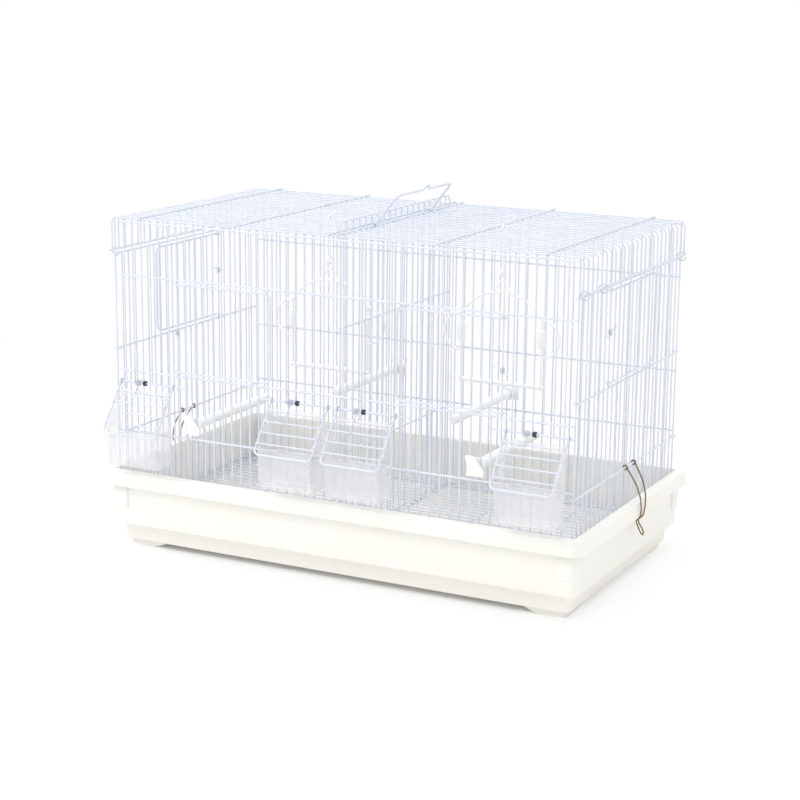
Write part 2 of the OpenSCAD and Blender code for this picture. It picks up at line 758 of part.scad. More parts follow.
module cup_strip() {
    strip = cover_pitch * 0.7;
    polygon([by_cover(cup_first, cheek_n), by_cover(cup_first + strip, cheek_n),
        by_cover(cup_first + strip, cheek_n - cup_wall), by_cover(cup_first, cheek_n - cup_wall)]);
}

module cup_lug() {
    under = cup_sill - cup_wall;
    lip = rail_off - rail_d / 2 * FLAT - rest_gap;
    translate([lip - cup_wall, under]) square([cup_back + 2 * cup_wall - lip, cup_wall]);
    translate([lip - cup_wall, under - rail_d * 2]) square([cup_wall, rail_d * 2 + cup_wall]);
}

module feeder_cup(n) color(CLEAR, 0.4) {
    difference() {
        side_view(n, cup_w) cup_outline();
        side_view(n, cup_w - 2 * cup_wall) cup_hollow();
    }
    side_view(n, cup_w - cup_wall) cup_strip();
    for (x = [-2, 2]) side_view(n, lug_w, x * front_pitch) cup_lug();
}

// a cover's spring sits one bay beside the middle of its feeder
cover_spring_x = -front_pitch;

// a torsion spring on the cover rail: one arm on the cover, one on the rail above
function feeder_spring_line() =
    let (ring = rail_off + bar_d / 2 * FLAT + spring_d / 2 + rest_gap,
        top = door_sill_step,
        lean = rail_d / 2 * FLAT + spring_d / 2 + rest_gap,
        leave = 360 * spring_turns - 90 + cover_slope,
        steps = spring_turns * 8,
        width = spring_turns * spring_pitch,
        down = [0, -cos(cover_slope), -sin(cover_slope)],
        off = ring * [0, -sin(cover_slope), cos(cover_slope)])
    concat(
        [[-width / 2, -lean, top + rail_d], [-width / 2, -lean, top - rail_d],
            [-width / 2, -ring, rail_d]],
        [for (k = [0 : steps])
            let (a = 180 + leave * k / steps)
            [width * (k / steps - 0.5), ring * cos(a), ring * sin(a)]],
        [[width / 2, 0, 0] + off + down * cover_pitch / 2,
            [width / 2, 0, 0] + off + down * cover_pitch * 2.4]);
echo(feeder_spring_gap = self_gap(feeder_spring_line(), spring_d));

module feeder_spring(n) color(STEEL)
    translate([feeder_x(n) + cover_spring_x, front_y - rail_off, cover_z])
        tube(feeder_spring_line(), spring_d, [1, 0, 0]);

// the collars that keep the cover springs in place along their rails
module feeder_collars() color(DARK)
    for (n = [1 : 4])
        translate([feeder_x(n) + cover_spring_x + (front_pitch + bar_d) / 2 + rest_gap,
                front_y - rail_off, cover_z])
            rotate([0, 90, 0]) difference() {
                cylinder(h = collar_l, d = collar_d, $fn = ROUND);
                translate([0, 0, -1])
                    cylinder(h = collar_l + 2, d = rail_d + 2 * eye_gap, $fn = ROUND);
            }

// ---- perches --------------------------------------------------------------

function perch_x(n) = bar_x(perch_bays[n - 1] + 0.5);
function perch_z(n) = ledge_z + perch_heights[n - 1];
grip = bar_d / 2 + rest_gap;
socket_y = grip + plate_t;

perch_tip = perch_d / 4;

// the outer perches are clipped to the front panel and the inner ones to the
// back panel; from here Y runs into the cage
module at_perch(n) {
    at_front = n == 1 || n == 4;
    translate([perch_x(n), at_front ? front_y : back_y, perch_z(n)])
        rotate(at_front ? 0 : 180) children();
}

module perch(n) color(PLASTIC) at_perch(n)
    translate([0, socket_y + seat_gap, 0]) rotate([-90, 0, 0]) {
        cylinder(h = perch_l - perch_tip, d = perch_d, $fn = ROUND);
        translate([0, 0, perch_l - perch_tip])
            cylinder(h = perch_tip, d1 = perch_d, d2 = perch_d / 2, $fn = ROUND);
    }

module perch_1() perch(1);
module perch_2() perch(2);
module perch_3() perch(3);
module perch_4() perch(4);

// a cap that grips two bars: plates on both sides, a web between, and a socket
module perch_cap() rotate([-90, 0, 0]) {
    web = front_pitch - bar_d - 2 * rest_gap;
    inner_plate = cap_plate * 0.75;
    translate([0, 0, -grip - plate_t]) linear_extrude(plate_t)
        plate(cap_plate / 2, cap_plate / 2, cap_plate / 6);
    translate([-web / 2, -web / 2, -grip]) cube([web, web, 2 * grip]);
    translate([0, 0, grip]) linear_extrude(plate_t)
        plate(inner_plate / 2, inner_plate / 2, inner_plate / 6);
    translate([0, 0, socket_y]) difference() {
        cylinder(h = socket_l, d = perch_d + 2 * socket_wall, $fn = ROUND);
        cylinder(h = socket_l + 1, d = perch_d + 2 * seat_gap, $fn = ROUND);
    }
}

module perch_caps() color(PLASTIC)
    for (n = [1 : 4]) at_perch(n) perch_cap();

// ---- swings ---------------------------------------------------------------

module link_ring(r, w) difference() {
    circle(r = r + w / 2, $fn = ROUND);
    circle(r = r - w / 2, $fn = ROUND);
}

// the hook's link and the frame's link are rings that pass through each other
link_r = swing_t * 1.5;
link_w = swing_t * 0.75;
link_gap = swing_t * 0.25;
arch_r = (swing_w * swing_w / 4 + arch_h * arch_h) / (2 * arch_h);
arch_top = -arch_drop + arch_h;
frame_link_z = arch_top + link_r + swing_t * 4;
hook_link_z = frame_link_z + 2 * link_r - link_w - link_gap;

module at_swing(side) {
    bay = side < 0 ? swing_left_bay : swing_right_bay;
    x = side < 0 ? -swing_left_x : swing_right_x;
    translate([x, bar_y(bay), roof_z]) children();
}

// a flat shape in the (X, Z) plane with thickness t along Y
module upright(t) translate([0, t / 2, 0]) rotate([90, 0, 0]) linear_extrude(t) children();
// a flat shape in the (Y, Z) plane with thickness t along X
module crosswise(t) rotate(90) upright(t) children();

// a ring on the roof wire, a long stem, and a link for the swing
module swing_hook(side) color(PLASTIC) at_swing(side) {
    ring = bar_d / 2 + eye_gap + link_w / 2;
    crosswise(link_w) {
        link_ring(ring, link_w);
        translate([0, hook_link_z]) link_ring(link_r, link_w);
        translate([-link_w / 2, hook_link_z + link_r])
            square([link_w, -ring - hook_link_z - link_r]);
    }
}

// the arch, side wires, side loops and apex of the swing, in the (X, Z) plane
module swing_outline() {
    half = swing_w / 2;
    foot = swing_t / 2;
    intersection() {
        translate([0, arch_top - arch_r]) link_ring(arch_r, swing_t);
        translate([-half - foot, -arch_drop - foot]) square([swing_w + swing_t, 2 * arch_h]);
    }
    for (sx = [-1, 1]) {
        translate([sx * half - foot, -swing_drop]) square([swing_t, swing_drop - arch_drop]);
        intersection() {
            translate([sx * half, -arch_drop - loop_r]) link_ring(loop_r, swing_t);
            translate([sx > 0 ? half : -half - 2 * loop_r, -arch_drop - 2 * loop_r - swing_t])
                square([2 * loop_r, 2 * loop_r + 2 * swing_t]);
        }
        apex_leg(sx);
    }
    translate([0, frame_link_z]) link_ring(link_r, link_w);
}

// one slanting leg from the arch to the link at the apex
module apex_leg(sx) {
    foot_x = sx * swing_t * 4;
    foot_z = arch_top - arch_r + sqrt(arch_r * arch_r - foot_x * foot_x);
    head_z = frame_link_z - link_r;
    polygon([[foot_x - 1, foot_z], [foot_x + 1, foot_z],
        [sx > 0 ? 1.5 : 0.5, head_z], [sx > 0 ? -0.5 : -1.5, head_z]]);
}

module swing_frame(side) color(PLASTIC) at_swing(side) upright(swing_t) swing_outline();

// the bar, with a seat from above for the foot of each side wire
module swing_bar(side) color(PLASTIC) at_swing(side) {
    seat = swing_t + 2 * seat_gap;
    length = swing_w + swing_bar_d;
    difference() {
        translate([-length / 2, 0, -swing_drop]) rotate([0, 90, 0])
            cylinder(h = length, d = swing_bar_d, $fn = ROUND);
        for (sx = [-1, 1])
            translate([sx * swing_w / 2 - seat / 2, -seat / 2, -swing_drop - seat_gap])
                cube([seat, seat, swing_bar_d]);
    }
}

module swing_beads(side) color(PLASTIC) at_swing(side)
    for (sx = [-1, 1])
        translate([sx * swing_w / 2, 0, -arch_drop - loop_r - bead_l / 2])
            difference() {
                cylinder(h = bead_l, d = bead_d, $fn = ROUND);
                translate([0, 0, -1])
                    cylinder(h = bead_l + 2, d = swing_t * sqrt(2) + 2 * seat_gap, $fn = ROUND);
            }

module swing_hook_left() swing_hook(-1);
module swing_hook_right() swing_hook(1);
module swing_frame_left() swing_frame(-1);
module swing_frame_right() swing_frame(1);
module swing_bar_left() swing_bar(-1);
module swing_bar_right() swing_bar(1);
module swing_beads_left() swing_beads(-1);
module swing_beads_right() swing_beads(1);

// ---- tray hooks -----------------------------------------------------------

// the outline of a wire of width d laid along a list of points in a plane
function left_of(v) = [-v[1], v[0]];
function edge_point(p, i, off) =
    let (n = len(p) - 1,
        a = unit(p[max(i, 1)] - p[max(i, 1) - 1]),
        b = unit(p[min(i, n - 1) + 1] - p[min(i, n - 1)]),
        m = unit(left_of(a) + left_of(b)))
    p[i] + off / (m * left_of(a)) * m;
function wire_outline(p, d) = concat(
    [for (i = [0 : len(p) - 1]) edge_point(p, i, d / 2)],
    [for (i = [len(p) - 1 : -1 : 0]) edge_point(p, i, -d / 2)]);

// a doubled spring wire that hangs on the side rail and catches under the rim
module tray_hook() {
    ring = eye_r(rail_d, hook_d);
    face_x = rim_out_x - rail_off;
    out_x = face_x + hook_d / 2 + 2 * rest_gap;
    under_z = rim_z - hook_z - hook_d;
    catch_x = face_x - hook_catch;
    catch_z = under_z - 2 * hook_d / 2;
    tail_z = rim_z - hook_z - hook_tail;
    side_y = hook_w / 2;
    path = [[ring, -ring / 2], [ring * 2.5, -ring * 4], [out_x, tray_top - hook_z + 2 * hook_d],
        [out_x, under_z], [catch_x, catch_z], [catch_x + hook_d * 2, catch_z - 5 * hook_d],
        [out_x + 2 * hook_d, tail_z]];
    last = path[len(path) - 1];
    prior = path[len(path) - 2];
    translate([rail_off, (hook_bay + 0.5) * side_pitch, hook_z]) {
        for (y = [-side_y, side_y]) {
            translate([0, y, 0]) upright(hook_d) polygon(wire_outline(path, hook_d));
            translate([0, y, 0]) eye_y(ring, hook_d * 1.05);
        }
        upright(2 * side_y) polygon(wire_outline([last + hook_d * unit(prior - last), last],
            hook_d));
    }
}

module tray_hook_left() color(BRASS) at_side(180) tray_hook();
module tray_hook_right() color(BRASS) at_side(0) tray_hook();

// ---- numbered feeder pieces -----------------------------------------------

module feeder_cup_1() feeder_cup(1);
module feeder_cup_2() feeder_cup(2);
module feeder_cup_3() feeder_cup(3);
module feeder_cup_4() feeder_cup(4);
module feeder_cover_1() feeder_cover(1);
module feeder_cover_2() feeder_cover(2);
module feeder_cover_3() feeder_cover(3);
module feeder_cover_4() feeder_cover(4);
module feeder_spring_1() feeder_spring(1);
module feeder_spring_2() feeder_spring(2);
module feeder_spring_3() feeder_spring(3);
module feeder_spring_4() feeder_spring(4);

tray();
floor_grate();
front_panel();
back_panel();
left_side_panel();
right_side_panel();
roof_panel();
ring_clips();
roof_wire_caps();
divider();
carry_handle();
front_door_left();
front_door_right();
front_door_spring_left();
front_door_spring_right();
side_door_left();
side_door_right();
side_door_spring_left();
side_door_spring_right();
feeder_cup_1();
feeder_cup_2();
feeder_cup_3();
feeder_cup_4();
feeder_cover_1();
feeder_cover_2();
feeder_cover_3();
feeder_cover_4();
feeder_spring_1();
feeder_spring_2();
feeder_spring_3();
feeder_spring_4();
feeder_collars();
perch_1();
perch_2();
perch_3();
perch_4();
perch_caps();
swing_hook_left();
swing_frame_left();
swing_bar_left();
swing_beads_left();
swing_hook_right();
swing_frame_right();
swing_bar_right();
swing_beads_right();
tray_hook_left();
tray_hook_right();
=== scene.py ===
import math

import bmesh
import bpy
from mathutils import Matrix, Vector


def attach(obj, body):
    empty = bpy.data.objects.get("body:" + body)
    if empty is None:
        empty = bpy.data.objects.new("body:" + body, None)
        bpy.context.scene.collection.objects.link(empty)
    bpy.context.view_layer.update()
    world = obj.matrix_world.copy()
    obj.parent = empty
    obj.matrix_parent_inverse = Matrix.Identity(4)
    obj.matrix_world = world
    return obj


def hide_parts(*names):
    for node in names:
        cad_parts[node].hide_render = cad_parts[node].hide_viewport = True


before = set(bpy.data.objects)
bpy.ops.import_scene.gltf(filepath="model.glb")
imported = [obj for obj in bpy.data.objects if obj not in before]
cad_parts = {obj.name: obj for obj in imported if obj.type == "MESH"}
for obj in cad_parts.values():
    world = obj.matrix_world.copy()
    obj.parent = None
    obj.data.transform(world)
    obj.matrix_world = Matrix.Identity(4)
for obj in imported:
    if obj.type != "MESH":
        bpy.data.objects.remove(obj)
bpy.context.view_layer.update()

# ---- tray ------------------------------------------------------------------
# The deep tray is one injection moulding in ivory polystyrene: a skirt on four
# feet, a wider wall, and a turned-down rim that stiffens it and takes the hooks.
# Its edges are softly rounded, and pads thicken the corners under the rim.

CAGE = "cage_and_tray"  # the body that carries all fixed pieces
MILLIMETRE = 0.001  # a piece is sized in millimetres, and scaled when it is fitted
MIDDLE_Y = 13.3785  # middle of the cage from front to back
RIM_HALF_X, RIM_HALF_Y = 305.0, 172.5
RIM_FOOT, RIM_TOP = 76.0, 94.0
SKIRT_FOOT, SKIRT_TOP = 7.0, 28.0
LEDGE_Z = 30.5  # the ledge inside, on which the wire panels stand
THICK = 2.5  # thickness of the moulding


def linear(hex_colour):
    """An sRGB hex colour as the linear values a shader takes."""
    parts = [int(hex_colour[i:i + 2], 16) / 255 for i in (1, 3, 5)]
    return [c / 12.92 if c <= 0.04045 else ((c + 0.055) / 1.055) ** 2.4 for c in parts] + [1.0]


def set_inputs(tree, node, inputs):
    """Sets a node's inputs: to a value or hex colour, or from a node (its first output)."""
    for name, value in inputs.items():
        if isinstance(value, bpy.types.Node):
            value = value.outputs[0]
        if isinstance(value, bpy.types.NodeSocket):
            tree.links.new(value, node.inputs[name])
        else:
            node.inputs[name].default_value = linear(value) if isinstance(value, str) else value


def add_node(tree, kind, inputs=None, **settings):
    """Adds a shader node with its settings and inputs."""
    node = tree.nodes.new("ShaderNode" + kind)
    for name, value in settings.items():
        setattr(node, name, value)
    set_inputs(tree, node, inputs or {})
    return node


def start_material(name):
    """A new node material: its node tree, its Principled shader and the piece's own space."""
    material = bpy.data.materials.new(name)
    material.use_nodes = True
    tree = material.node_tree
    place = add_node(tree, "TexCoord").outputs["Object"]
    return material, tree, tree.nodes["Principled BSDF"], place


# Moulded polystyrene: even and softly glossy, with a fine spark-eroded grain
# (drawn at 1.6 mm, coarser than the real 0.3 mm so that it shows), faint flow
# clouds about 90 mm wide, and a slightly yellower, darker tone low down.
ivory_polystyrene, tree, shader, place = start_material("ivory_polystyrene")
clouds = add_node(tree, "TexNoise", {"Vector": place, "Scale": 1000 / 90, "Detail": 3.0})
height = add_node(tree, "SeparateXYZ", {0: place})
# yellower and darker towards the bottom: a quarter of #F4F1E4 at 6 mm up, fading out by 34 mm
low_down = add_node(tree, "MapRange",
                    {"Value": height.outputs["Z"], "From Min": 0.006, "From Max": 0.034,
                     "To Min": 0.25, "To Max": 0.0})
tone = add_node(tree, "Mix", {0: clouds, 6: "#F9F8F3", 7: "#F6F4EC"}, data_type="RGBA")
toned_low = add_node(tree, "Mix", {0: low_down, 6: tone.outputs[2], 7: "#F4F1E4"}, data_type="RGBA")
grain = add_node(tree, "TexNoise", {"Vector": place, "Scale": 1000 / 1.6, "Detail": 2.0})
sheen_range = add_node(tree, "MapRange", {"Value": grain, "To Min": 0.34, "To Max": 0.5})
dimples = add_node(tree, "Bump", {"Height": grain, "Strength": 0.12, "Distance": 0.0003})
set_inputs(tree, shader, {"Base Color": toned_low.outputs[2], "Roughness": sheen_range,
                          "Normal": dimples, "IOR": 1.59, "Subsurface Weight": 0.05,
                          "Subsurface Radius": (0.004, 0.004, 0.003), "Subsurface Scale": 1.0})


def outline(bm, half_x, half_y, corner, z, x, y):
    """A level rectangle with rounded corners, filled; gives its edges."""
    made = bmesh.ops.create_circle(bm, cap_ends=True, radius=math.sqrt(2), segments=4)
    bmesh.ops.rotate(bm, verts=made["verts"], cent=(0, 0, 0),
                     matrix=Matrix.Rotation(math.pi / 4, 3, "Z"))
    bmesh.ops.scale(bm, verts=made["verts"], vec=(half_x, half_y, 1))
    bmesh.ops.translate(bm, verts=made["verts"], vec=(x, y, z))
    made = bmesh.ops.bevel(bm, geom=made["verts"], offset=corner, segments=8, profile=0.5,
                           affect="VERTICES")
    return list({e for v in made["verts"] for e in v.link_edges})


def next_level(bm, ring, here, there):
    """Draws an outline on to the next level, where each corner's arc takes its new place."""
    made = bmesh.ops.extrude_edge_only(bm, edges=ring)["geom"]
    for corner in [g for g in made if isinstance(g, bmesh.types.BMVert)]:
        for side in (0, 1):
            out = 1 if corner.co[side] > here[4 + side] else -1
            arc_from = here[4 + side] + out * (here[side] - here[2])
            arc_to = there[4 + side] + out * (there[side] - there[2])
            corner.co[side] = arc_to + (corner.co[side] - arc_from) * there[2] / here[2]
        corner.co.z = there[3]
    return [g for g in made if isinstance(g, bmesh.types.BMEdge)]


def loft(bm, levels):
    """A closed moulding through level outlines (half x, half y, corner, z, x, y)."""
    ring = outline(bm, *levels[0])
    for here, there in zip(levels, levels[1:]):
        ring = next_level(bm, ring, here, there)
    bmesh.ops.contextual_create(bm, geom=ring)


def tray_level(inset, corner, z):
    """One level of the tray: the rim's outline, drawn in."""
    return RIM_HALF_X - inset, RIM_HALF_Y - inset, corner, z, 0.0, MIDDLE_Y


def soften(bm, radius, segments=3, sharper_than=40.0):
    """Rounds every edge that is sharper than the given angle."""
    sharp = [e for e in bm.edges if len(e.link_faces) == 2
             and e.calc_face_angle() > math.radians(sharper_than)]
    bmesh.ops.bevel(bm, geom=sharp, offset=radius, segments=segments, profile=0.5,
                    affect="EDGES", clamp_overlap=True)


def add_part(bm, part):
    """Adds a finished part to a moulding."""
    mesh = bpy.data.meshes.new("part")
    part.to_mesh(mesh)
    part.free()
    bm.from_mesh(mesh)
    bpy.data.meshes.remove(mesh)


def fit_piece(bm, name, body, finish, node, creased=38.0):
    """Turns a mesh in millimetres into a piece of the cage that stands for a CAD node."""
    bmesh.ops.recalc_face_normals(bm, faces=bm.faces)
    bmesh.ops.scale(bm, verts=bm.verts, vec=(MILLIMETRE,) * 3)
    mesh = bpy.data.meshes.new(name)
    bm.to_mesh(mesh)
    bm.free()
    mesh.shade_smooth()
    mesh.set_sharp_from_angle(angle=math.radians(creased))
    mesh.materials.append(finish)
    piece = bpy.data.objects.new(name, mesh)
    bpy.context.scene.collection.objects.link(piece)
    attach(piece, body)
    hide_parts(node)


# (drawn in from the rim, corner radius, height): up the outside, over the rim
# and down the inside
TRAY_WALL = [(20.0, 4.8, SKIRT_FOOT), (20.0, 4.8, SKIRT_TOP), (10.0, 7.0, SKIRT_TOP),
             (10.0, 7.0, RIM_TOP - THICK), (2.5, 13.5, RIM_TOP - THICK), (2.5, 13.5, RIM_FOOT),
             (0.0, 16.0, RIM_FOOT), (0.0, 16.0, RIM_TOP), (12.5, 4.5, RIM_TOP),
             (12.5, 4.5, LEDGE_Z), (22.5, 2.6, LEDGE_Z), (22.5, 2.6, SKIRT_FOOT + THICK)]
tray = bmesh.new()
loft(tray, [tray_level(*step) for step in TRAY_WALL])
soften(tray, 1.1)

# pads under the rim: a band round the wall, kept only at the four corners
PAD_FOOT, PAD_TOP = 48.0, 76.4
PAD_REACH_X, PAD_REACH_Y = RIM_HALF_X - 32.0, RIM_HALF_Y - 32.0
band = [tray_level(*step) for step in ((8.0, 9.0, PAD_FOOT), (8.0, 9.0, PAD_TOP),
                                       (11.2, 5.8, PAD_TOP), (11.2, 5.8, PAD_FOOT))]
pads = bmesh.new()
ring = outline(pads, *band[0])
bmesh.ops.delete(pads, geom=pads.faces[:], context="FACES_ONLY")
for here, there in zip(band, band[1:] + band[:1]):
    ring = next_level(pads, ring, here, there)
bmesh.ops.remove_doubles(pads, verts=pads.verts, dist=0.001)
for normal, reach in (((1, 0, 0), PAD_REACH_X), ((-1, 0, 0), PAD_REACH_X),
                      ((0, 1, 0), PAD_REACH_Y), ((0, -1, 0), PAD_REACH_Y)):
    bmesh.ops.bisect_plane(pads, geom=pads.verts[:] + pads.edges[:] + pads.faces[:], dist=1e-5,
                           plane_co=Vector((0, MIDDLE_Y, 0)) + Vector(normal) * reach,
                           plane_no=normal)
between = [f for f in pads.faces
           if abs(f.calc_center_median().x) < PAD_REACH_X
           or abs(f.calc_center_median().y - MIDDLE_Y) < PAD_REACH_Y]
bmesh.ops.delete(pads, geom=between, context="FACES")
bmesh.ops.holes_fill(pads, edges=pads.edges[:])
soften(pads, 0.9)
add_part(tray, pads)

# feet whose inner ends run up to the skirt in a soft S
FOOT_X, FOOT_Y = 280.5, 148.0  # outer sides of a foot, from the cage's middle
FOOT_TIP, FOOT_ROOT = 37.0, 61.0  # its length on the table and where it meets the skirt
FOOT_CORNER, FOOT_RISE, FOOT_STEPS = 6.8, 7.6, 8
for side_x in (-1, 1):
    for side_y in (-1, 1):
        levels = []
        for step in range(FOOT_STEPS + 1):
            along = step / FOOT_STEPS
            length = FOOT_TIP + (FOOT_ROOT - FOOT_TIP) * along
            z = FOOT_RISE * (1 - math.cos(math.pi * along)) / 2
            levels.append((length / 2, length / 2, FOOT_CORNER, z, side_x * (FOOT_X - length / 2),
                           MIDDLE_Y + side_y * (FOOT_Y - length / 2)))
        loft(tray, levels)
fit_piece(tray, "tray_moulding", CAGE, ivory_polystyrene, "tray")

# ---- floor grate -----------------------------------------------------------
# A welded grate of steel wire lies in the tray: long wires on seven cross
# supports. Like the whole cage it is spot-welded bright wire, dipped in a bluish
# white powder coat that pools a little round every weld.

BAR, RAIL = 1.8, 2.4  # wire gauges
WELDED = 1.64  # centre distance of two wires at a weld
WELD_RADIUS, COATED_EDGE = 1.15, 0.22
SUPPORTS, SUPPORT_X = 7, 279.9
SUPPORT_Z, GRATE_Z, GRATE_WELD_Z = 38.27, 39.91, 39.2
GRATE_WIRES, GRATE_PITCH = 26, 12.0
GRATE_HALF_X, GRATE_HALF_Y = 285.9, 154.8

# Baked powder coat on steel wire: satin, bluish white, with an orange peel of
# about 1.5 mm (real 0.5 mm, drawn coarser so that it shows) and thin places
# where the blue-grey ground shows through, some 25 mm apart.
white_powder_coat, tree, shader, place = start_material("white_powder_coat")
thin_places = add_node(tree, "TexNoise",
                       {"Vector": place, "Scale": 1000 / 25, "Detail": 4.0, "Roughness": 0.6})
thinness = add_node(tree, "MapRange", {"Value": thin_places, "From Min": 0.35, "From Max": 0.75})
coat = add_node(tree, "Mix", {0: thinness, 6: "#E2E6F0", 7: "#D5DBE8"}, data_type="RGBA")
peel = add_node(tree, "TexNoise", {"Vector": place, "Scale": 1000 / 1.5, "Detail": 1.0})
peel_bump = add_node(tree, "Bump", {"Height": peel, "Strength": 0.15, "Distance": 0.0002})
set_inputs(tree, shader, {"Base Color": coat.outputs[2], "Normal": peel_bump, "Roughness": 0.32,
                          "Coat Weight": 0.25, "Coat Roughness": 0.2})


def start_wire(bm, point, way, gauge, sides=12):
    """Cuts a round wire off square at a point; gives the ring of edges that is drawn on."""
    square_on = Vector(way).to_track_quat("Z", "Y").to_matrix().to_4x4()
    made = bmesh.ops.create_circle(bm, cap_ends=True, radius=gauge / 2, segments=sides,
                                   matrix=Matrix.Translation(Vector(point)) @ square_on)
    return list({e for v in made["verts"] for e in v.link_edges})


def run_wire(bm, ring, travel):
    """Draws the wire's end straight on."""
    made = bmesh.ops.extrude_edge_only(bm, edges=ring)["geom"]
    moved = [g for g in made if isinstance(g, bmesh.types.BMVert)]
    bmesh.ops.translate(bm, verts=moved, vec=travel)
    return [g for g in made if isinstance(g, bmesh.types.BMEdge)]


def bend_wire(bm, ring, centre, axis, angle, climb=0.0):
    """Bends the wire's end round a centre, climbing along the axis as a coil does."""
    steps = max(2, round(abs(angle) / math.radians(15)))
    made = bmesh.ops.spin(bm, geom=ring, cent=centre, axis=axis, angle=angle, steps=steps,
                          dvec=Vector(axis).normalized() * climb / steps)
    return [g for g in made["geom_last"] if isinstance(g, bmesh.types.BMEdge)]


def end_wire(bm, ring):
    """Closes the wire's cut end."""
    bmesh.ops.contextual_create(bm, geom=ring)


def wire(bm, points, gauge, former=6.0, sides=12):
    """A wire through the points, bent at each inner one round a former of that radius."""
    points = [Vector(p) for p in points]
    ring, here = None, points[0]
    for index in range(1, len(points)):
        corner = points[index]
        way = (corner - points[index - 1]).normalized()
        if ring is None:
            ring = start_wire(bm, here, way, gauge, sides)
        if index == len(points) - 1:
            ring = run_wire(bm, ring, corner - here)
            break
        out = (points[index + 1] - corner).normalized()
        turn = way.angle(out)
        reach = min(former * math.tan(turn / 2), 0.48 * (corner - points[index - 1]).length,
                    0.48 * (points[index + 1] - corner).length)
        radius = reach / math.tan(turn / 2)
        stop = corner - way * reach
        ring = run_wire(bm, ring, stop - here)
        inward = (out - way * way.dot(out)).normalized()
        ring = bend_wire(bm, ring, stop + inward * radius, way.cross(out), turn)
        here = corner + out * reach
    end_wire(bm, ring)


def rod(bm, start, end, gauge, sides=12):
    """A straight wire between two points."""
    start, end = Vector(start), Vector(end)
    lie = (end - start).to_track_quat("Z", "Y").to_matrix().to_4x4()
    bmesh.ops.create_cone(bm, cap_ends=True, segments=sides, radius1=gauge / 2, radius2=gauge / 2,
                          depth=(end - start).length,
                          matrix=Matrix.Translation((start + end) / 2) @ lie)


def weld(bm, x, y, z):
    """The coat that pools at a weld; twenty faces, for there are hundreds."""
    bmesh.ops.create_icosphere(bm, subdivisions=1, radius=WELD_RADIUS,
                               matrix=Matrix.Translation((x, y, z)))


def ring_of_wire(bm, centre, axis, ring, gauge, sides=10):
    """A closed eye of wire round an axis."""
    axis = Vector(axis)
    aside = axis.orthogonal().normalized()
    disc = bmesh.ops.create_circle(
        bm, cap_ends=False, radius=gauge / 2, segments=sides,
        matrix=Matrix.Translation(Vector(centre) + aside * ring)
        @ axis.cross(aside).to_track_quat("Z", "Y").to_matrix().to_4x4())
    edges = list({e for v in disc["verts"] for e in v.link_edges})
    bmesh.ops.spin(bm, geom=edges, cent=centre, axis=axis, angle=2 * math.pi, steps=24,
                   use_merge=True)


def trim_ends(bm):
    """Rounds the rims of all cut wire ends, as the coat does."""
    rims = [e for f in bm.faces if len(f.verts) > 4 for e in f.edges]
    bmesh.ops.bevel(bm, geom=rims, offset=COATED_EDGE, segments=1, profile=0.5, affect="EDGES")


def fit_wires(bm, name, body, node):
    """Fits a piece that is all coated wire."""
    fit_piece(bm, name, body, white_powder_coat, node)


grate = bmesh.new()
support_places = [-SUPPORT_X + 2 * SUPPORT_X * i / (SUPPORTS - 1) for i in range(SUPPORTS)]
for x in support_places:
    rod(grate, (x, MIDDLE_Y - GRATE_HALF_Y, SUPPORT_Z), (x, MIDDLE_Y + GRATE_HALF_Y, SUPPORT_Z),
        RAIL)
for i in range(GRATE_WIRES):
    y = MIDDLE_Y + (i - (GRATE_WIRES - 1) / 2) * GRATE_PITCH
    rod(grate, (-GRATE_HALF_X, y, GRATE_Z), (GRATE_HALF_X, y, GRATE_Z), BAR)
    for x in support_places:
        weld(grate, x, y, GRATE_WELD_Z)
trim_ends(grate)
fit_wires(grate, "floor_grate_wires", CAGE, "floor_grate")

# ---- front and back panels -------------------------------------------------
# Flat welded panels of upright bars at 12 mm, tied by thicker rails on their
# outer face. The front leaves two door openings and four feeder openings; a
# short rail closes each feeder opening and carries the covers.

FRONT_Y, BACK_Y = -142.6215, 169.3785
SIDE_X, RAIL_END = 288.0, 288.9  # the corner bars, and the ends of the long rails
BAYS, BAY = 48, 12.0
HEAD_Z = 391.0  # top of the bars
FOOT_RAIL_Z, FEEDER_RAIL_Z, COVER_RAIL_Z = 36.0, 141.5, 200.5
SILL_Z, LINTEL_Z = 214.0, 326.0  # rails under and over the doors
LONG_RAILS = (FEEDER_RAIL_Z, SILL_Z, LINTEL_Z, 388.0)
PAST = 1.2  # how far a cut bar laps past the middle of its rail
FEEDER_BAYS = (0, 17, 24, 41)  # first bay of each feeder
DOOR_BARS = (range(8, 17), range(32, 41))
COVER_RAILS = ((-RAIL_END, -191.1), (-96.9, 96.9), (191.1, RAIL_END))


def bar_x(number):
    """The place of an upright bar of the front or back, counted from the left."""
    return -SIDE_X + BAY * number


def rail(bm, y, z, left=-RAIL_END, right=RAIL_END):
    """A rail along the cage."""
    rod(bm, (left, y, z), (right, y, z), RAIL, 16)


